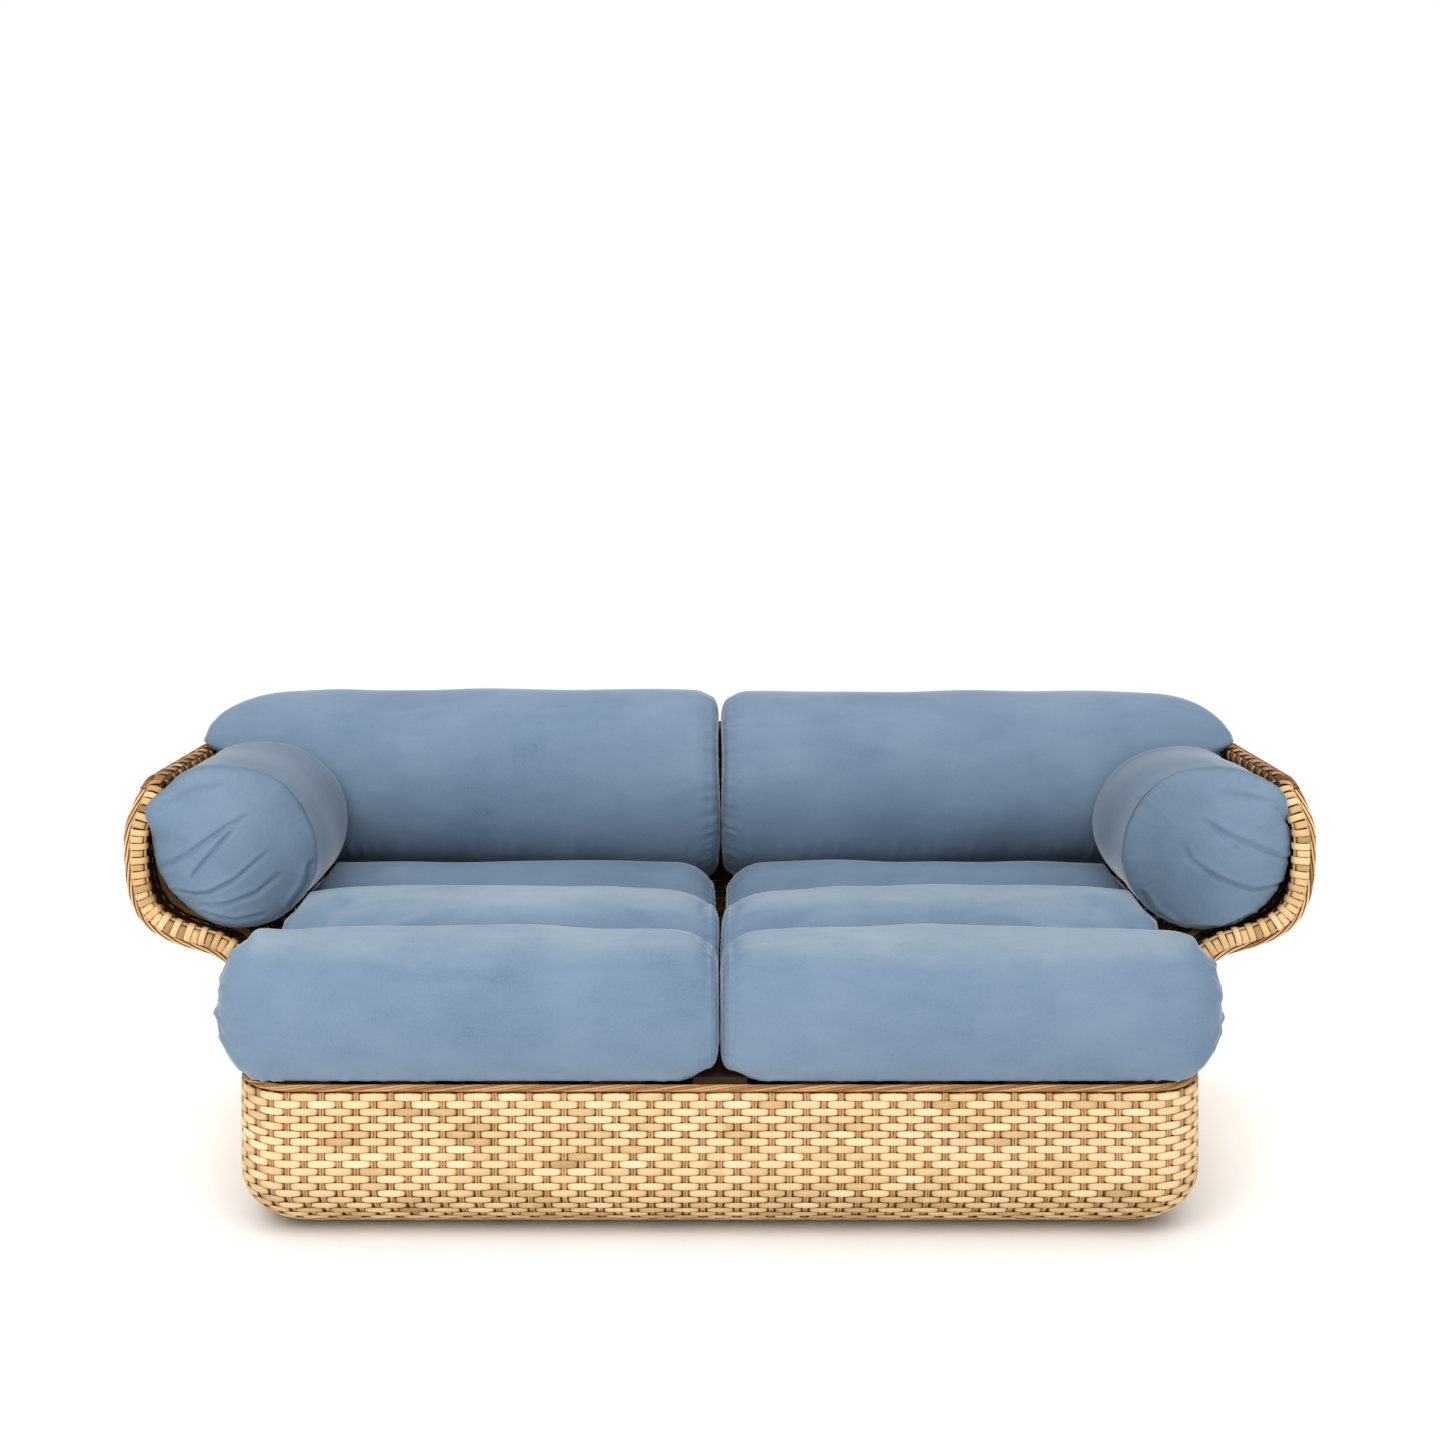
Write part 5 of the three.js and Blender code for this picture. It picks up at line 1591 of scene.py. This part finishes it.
def painted_light_share(kind, points, normals):
    """Painted light for the velvet: 0 for a painted highlight, 0.5 for none and 1 for painted shade.

    Painted highlights on the crests and undersides of the front rolls, and painted shade on the
    bolsters' round, less on the inner side of their caps and on the rearmost rolls."""
    x, y, _ = points.T
    if kind == "bolster":
        round_share = 1 - eased_step(-y, *ROUND_RUN)
        cap_share = CAP_SHADE_SHARE * eased_step(BOLSTER_X - x, *CAP_SHADE_RUN)
        return UNPAINTED_SHARE + ROUND_SHADE * np.maximum(round_share, cap_share)
    crest = CREST_HIGHLIGHT * eased_step(normals[:, 2], *CREST_RUN) * (1 - eased_step(y, *CREST_REAR_RUN))
    under = UNDERSIDE_HIGHLIGHT * eased_step(-normals[:, 2], *UNDER_RUN) * eased_step(-y, *UNDER_FRONT_RUN)
    away = REAR_ROLL_SHADE * eased_step(y, *REAR_ROLL_RUN) if kind == "seat_cushion" else 0
    return UNPAINTED_SHARE - crest - under + away


def cushion(label, kind, body, shells, voxel, held, finish, sink=0):
    """A stuffed piece in the place of a CAD cushion: remeshed, blown up, refined, fitted and finished.

    It is worked on as a right-hand one, whose top sinks by sink below its CAD cushion's."""
    node = f"{label}_{kind}"
    side = -1 if label == "left" else 1
    shape = skins(node.replace("_cushion", "") + "_velvet", shells, side)
    modified(shape, "REMESH", mode="VOXEL", voxel_size=voxel)
    modified(shape, "SMOOTH", factor=SMOOTHING, iterations=4)
    start = read_points(shape.data)
    pinned = held(start)
    room = SWELL_ROOM * (1 - pinned)[:, None]
    write_points(shape.data, start - read_points(shape.data, "normal") * room)
    inflate(shape, pinned)
    modified(shape, "SMOOTH", factor=SMOOTHING, iterations=2)
    modified(shape, "SUBSURF", levels=1, render_levels=1)
    flip = np.array([side, 1, 1])
    low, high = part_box(node)
    ends = sorted([low[0] * side, high[0] * side])
    low, high = np.array([ends[0], *low[1:]]), np.array([ends[1], *high[1:]])
    high[2] -= sink
    write_points(shape.data, fitted(read_points(shape.data) * flip, low, high) * flip)
    points = read_points(shape.data) * flip
    normals = read_points(shape.data, "normal") * flip
    write_points(shape.data, finish(points, normals) * flip)
    mesh = shape.data
    mesh.polygons.foreach_set("use_smooth", np.ones(len(mesh.polygons), bool))
    mesh.materials.clear()
    mesh.materials.append(velvet)
    # Painted highlights and painted shade by place and facing, which the velvet's colour is multiplied by
    attribute = mesh.attributes.new("painted_light", "FLOAT", "POINT")
    attribute.data.foreach_set("value", painted_light_share(kind, points, normals).astype(np.float32))
    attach(shape, body)
    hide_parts(node)


def make_cushions():
    """The seats, the backs and the bolsters, with their own ears, folds and swell on each side."""
    seat = [seat_roll(*roll) for roll in SEAT_ROLLS] + [seat_pad()]
    sides = (
        ("left", LEFT_EARS, LEFT_FOLDS, LEFT_SECTION, LEFT_TOP_DROP, 0),
        ("right", RIGHT_EARS, RIGHT_FOLDS, RIGHT_SECTION, RIGHT_TOP_DROP, RIGHT_BACK_SINK),
    )
    for label, ears, folds, section, top_drop, sink in sides:

        def seat_end(points, normals):
            return seat_finish(points, normals, ears)

        def cap(points, normals):
            return bolster_finish(points, normals, folds, section)

        cushion(label, "seat_cushion", f"{label}_seat", seat, SEAT_VOXEL, seat_held, seat_end)
        back = [back_roll(top_drop)]
        cushion(label, "back_cushion", f"{label}_back", back, BACK_VOXEL, end_held, back_finish, sink)
        cushion(label, "bolster", f"{label}_arm_bolster", [bolster_roll()], BOLSTER_VOXEL, rear_held, cap)


make_cushions()


# Finishes of the CAD nodes that stay

NODE_PAINTS = (("slat", slat_wood), ("glide", glide_plastic))
for name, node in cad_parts.items():
    paint = next((finish for start, finish in NODE_PAINTS if name.startswith(start)), pole)
    for place in node.material_slots:
        place.material = paint


# Stage, camera and lights

FLOOR_RADIUS = 2.7
FLOOR_HOLE = 0.02
FLOOR_DROP = 0.0002
FLOOR_RINGS = 24
FLOOR_SIDES = 96
FLOOR_GREY = (0.93, 0.93, 0.93)
FLOOR_WHITE = (0.95, 0.95, 0.95)
# Painted light: the floor's glow, rising with the distance past the sofa's foot, which hides the sofa's
# shadow
FLOOR_GLOW = ((0.04, (0, 0, 0)), (0.5, (0.3, 0.3, 0.3)))
FOOT_MIDDLE = (0, -0.10, 0)
FOOT_HALF = (0.66, 0.29, 1)
# Each light's place, target, size and power
LIGHTS = (
    ("key", (-1.2, -2.2, 2.0), (0, -0.2, 0.35), (1.6, 1.2), 15),
    ("crest", (0, -1.5, 2.4), (0, -0.4, 0.42), (2.6, 0.8), 11),
    ("back", (1.2, 3.6, 2.2), (0, 0.0, 0.3), (2.6, 2.0), 10),
)
# The tent round the sofa: how much less light comes from its sides, and more from its front and top
TENT_SIDES = -0.62
TENT_FRONT = 0.10
TENT_TOP = 0.55
TENT_FADE = ((0.45, (0, 0, 0)), (0.9, (1, 1, 1)))

# The camera, with the photograph's size, focal length and horizon in pixels
SENSOR = 36.0
PHOTO_SIZE = 1440
PHOTO_FOCAL = 1787
PHOTO_HORIZON = 440
CAMERA_PLACE = (0, -2.945, 1.132)


def make_floor():
    """A pale disc that brightens towards its edge, so that it melts into the white round it. It glows from
    just past the sofa's foot outwards: painted light that washes out the sofa's shadow on the floor.
    """
    rings = np.linspace(FLOOR_HOLE, 1, FLOOR_RINGS)[:, None] * FLOOR_RADIUS
    spokes = ring(FLOOR_SIDES)
    flat = rings[..., None] * spokes
    points = np.concatenate([flat, np.full((FLOOR_RINGS, FLOOR_SIDES, 1), -FLOOR_DROP)], -1).reshape(-1, 3)
    quads, caps = faces_of(1, FLOOR_RINGS, FLOOR_SIDES, False)
    paint = Paint("pale_floor", FLOOR_GREY)
    place = paint.object_place()
    speck = paint.noise(place, 3.0, 2.0)
    colour = paint.ramp(speck, [(0.0, FLOOR_GREY), (1.0, FLOOR_WHITE)])
    away = paint.vector("ABSOLUTE", paint.vector("SUBTRACT", place, FOOT_MIDDLE))
    past = paint.vector("MAXIMUM", paint.vector("SUBTRACT", away, FOOT_HALF), (0, 0, 0))
    far = paint.value(paint.vector("LENGTH", past, output="Value"))
    # Painted light: a glow that hides the sofa's shadow on the floor
    glow = paint.ramp(far, FLOOR_GLOW)
    paint.put(paint.shader.inputs["Emission Color"], glow)
    material = paint.finish(colour, 0.9, Emission_Strength=1.0)
    mesh_piece("floor", points, [quads, caps[:1]], material, None)


def make_camera():
    """Level, at eye height, with the frame shifted down to where the photograph has the sofa."""
    data = bpy.data.cameras.new("camera")
    data.sensor_width = SENSOR
    data.lens = SENSOR * PHOTO_FOCAL / PHOTO_SIZE
    data.shift_y = PHOTO_HORIZON / PHOTO_SIZE - 0.5
    camera = bpy.data.objects.new("camera", data)
    camera.location = CAMERA_PLACE
    camera.rotation_euler = (math.radians(90), 0, 0)
    bpy.context.scene.collection.objects.link(camera)
    bpy.context.scene.camera = camera


def area_light(name, place, target, size, power):
    """A soft box that faces its target."""
    data = bpy.data.lights.new(name, "AREA")
    data.shape = "RECTANGLE"
    data.size, data.size_y = size
    data.energy = power
    light = bpy.data.objects.new(name, data)
    light.location = place
    light.rotation_euler = Vector(np.subtract(target, place)).to_track_quat("-Z", "Y").to_euler()
    bpy.context.scene.collection.objects.link(light)


def make_lights():
    """A white tent round the sofa lights it, more from above and less from the sides, with soft boxes."""
    world = bpy.data.worlds.new("studio")
    bpy.context.scene.world = world
    world.use_nodes = True
    tent = Nodes(world.node_tree)
    x, y, z = tent.parts(tent.node("ShaderNodeTexCoord").outputs["Generated"])
    strength = tent.value(tent.node("ShaderNodeValue").outputs[0])
    strength.socket.default_value = 1.0
    for way, share in ((abs(x), TENT_SIDES), (y * -1.0, TENT_FRONT), (z, TENT_TOP)):
        strength = strength + tent.value(tent.ramp(way, TENT_FADE)) * share
    white = world.node_tree.nodes["Background"]
    white.inputs["Color"].default_value = (1, 1, 1, 1)
    tent.put(white.inputs["Strength"], strength)
    for light in LIGHTS:
        area_light(*light)
    bpy.context.scene.view_settings.view_transform = "Standard"


make_floor()
make_camera()
make_lights()
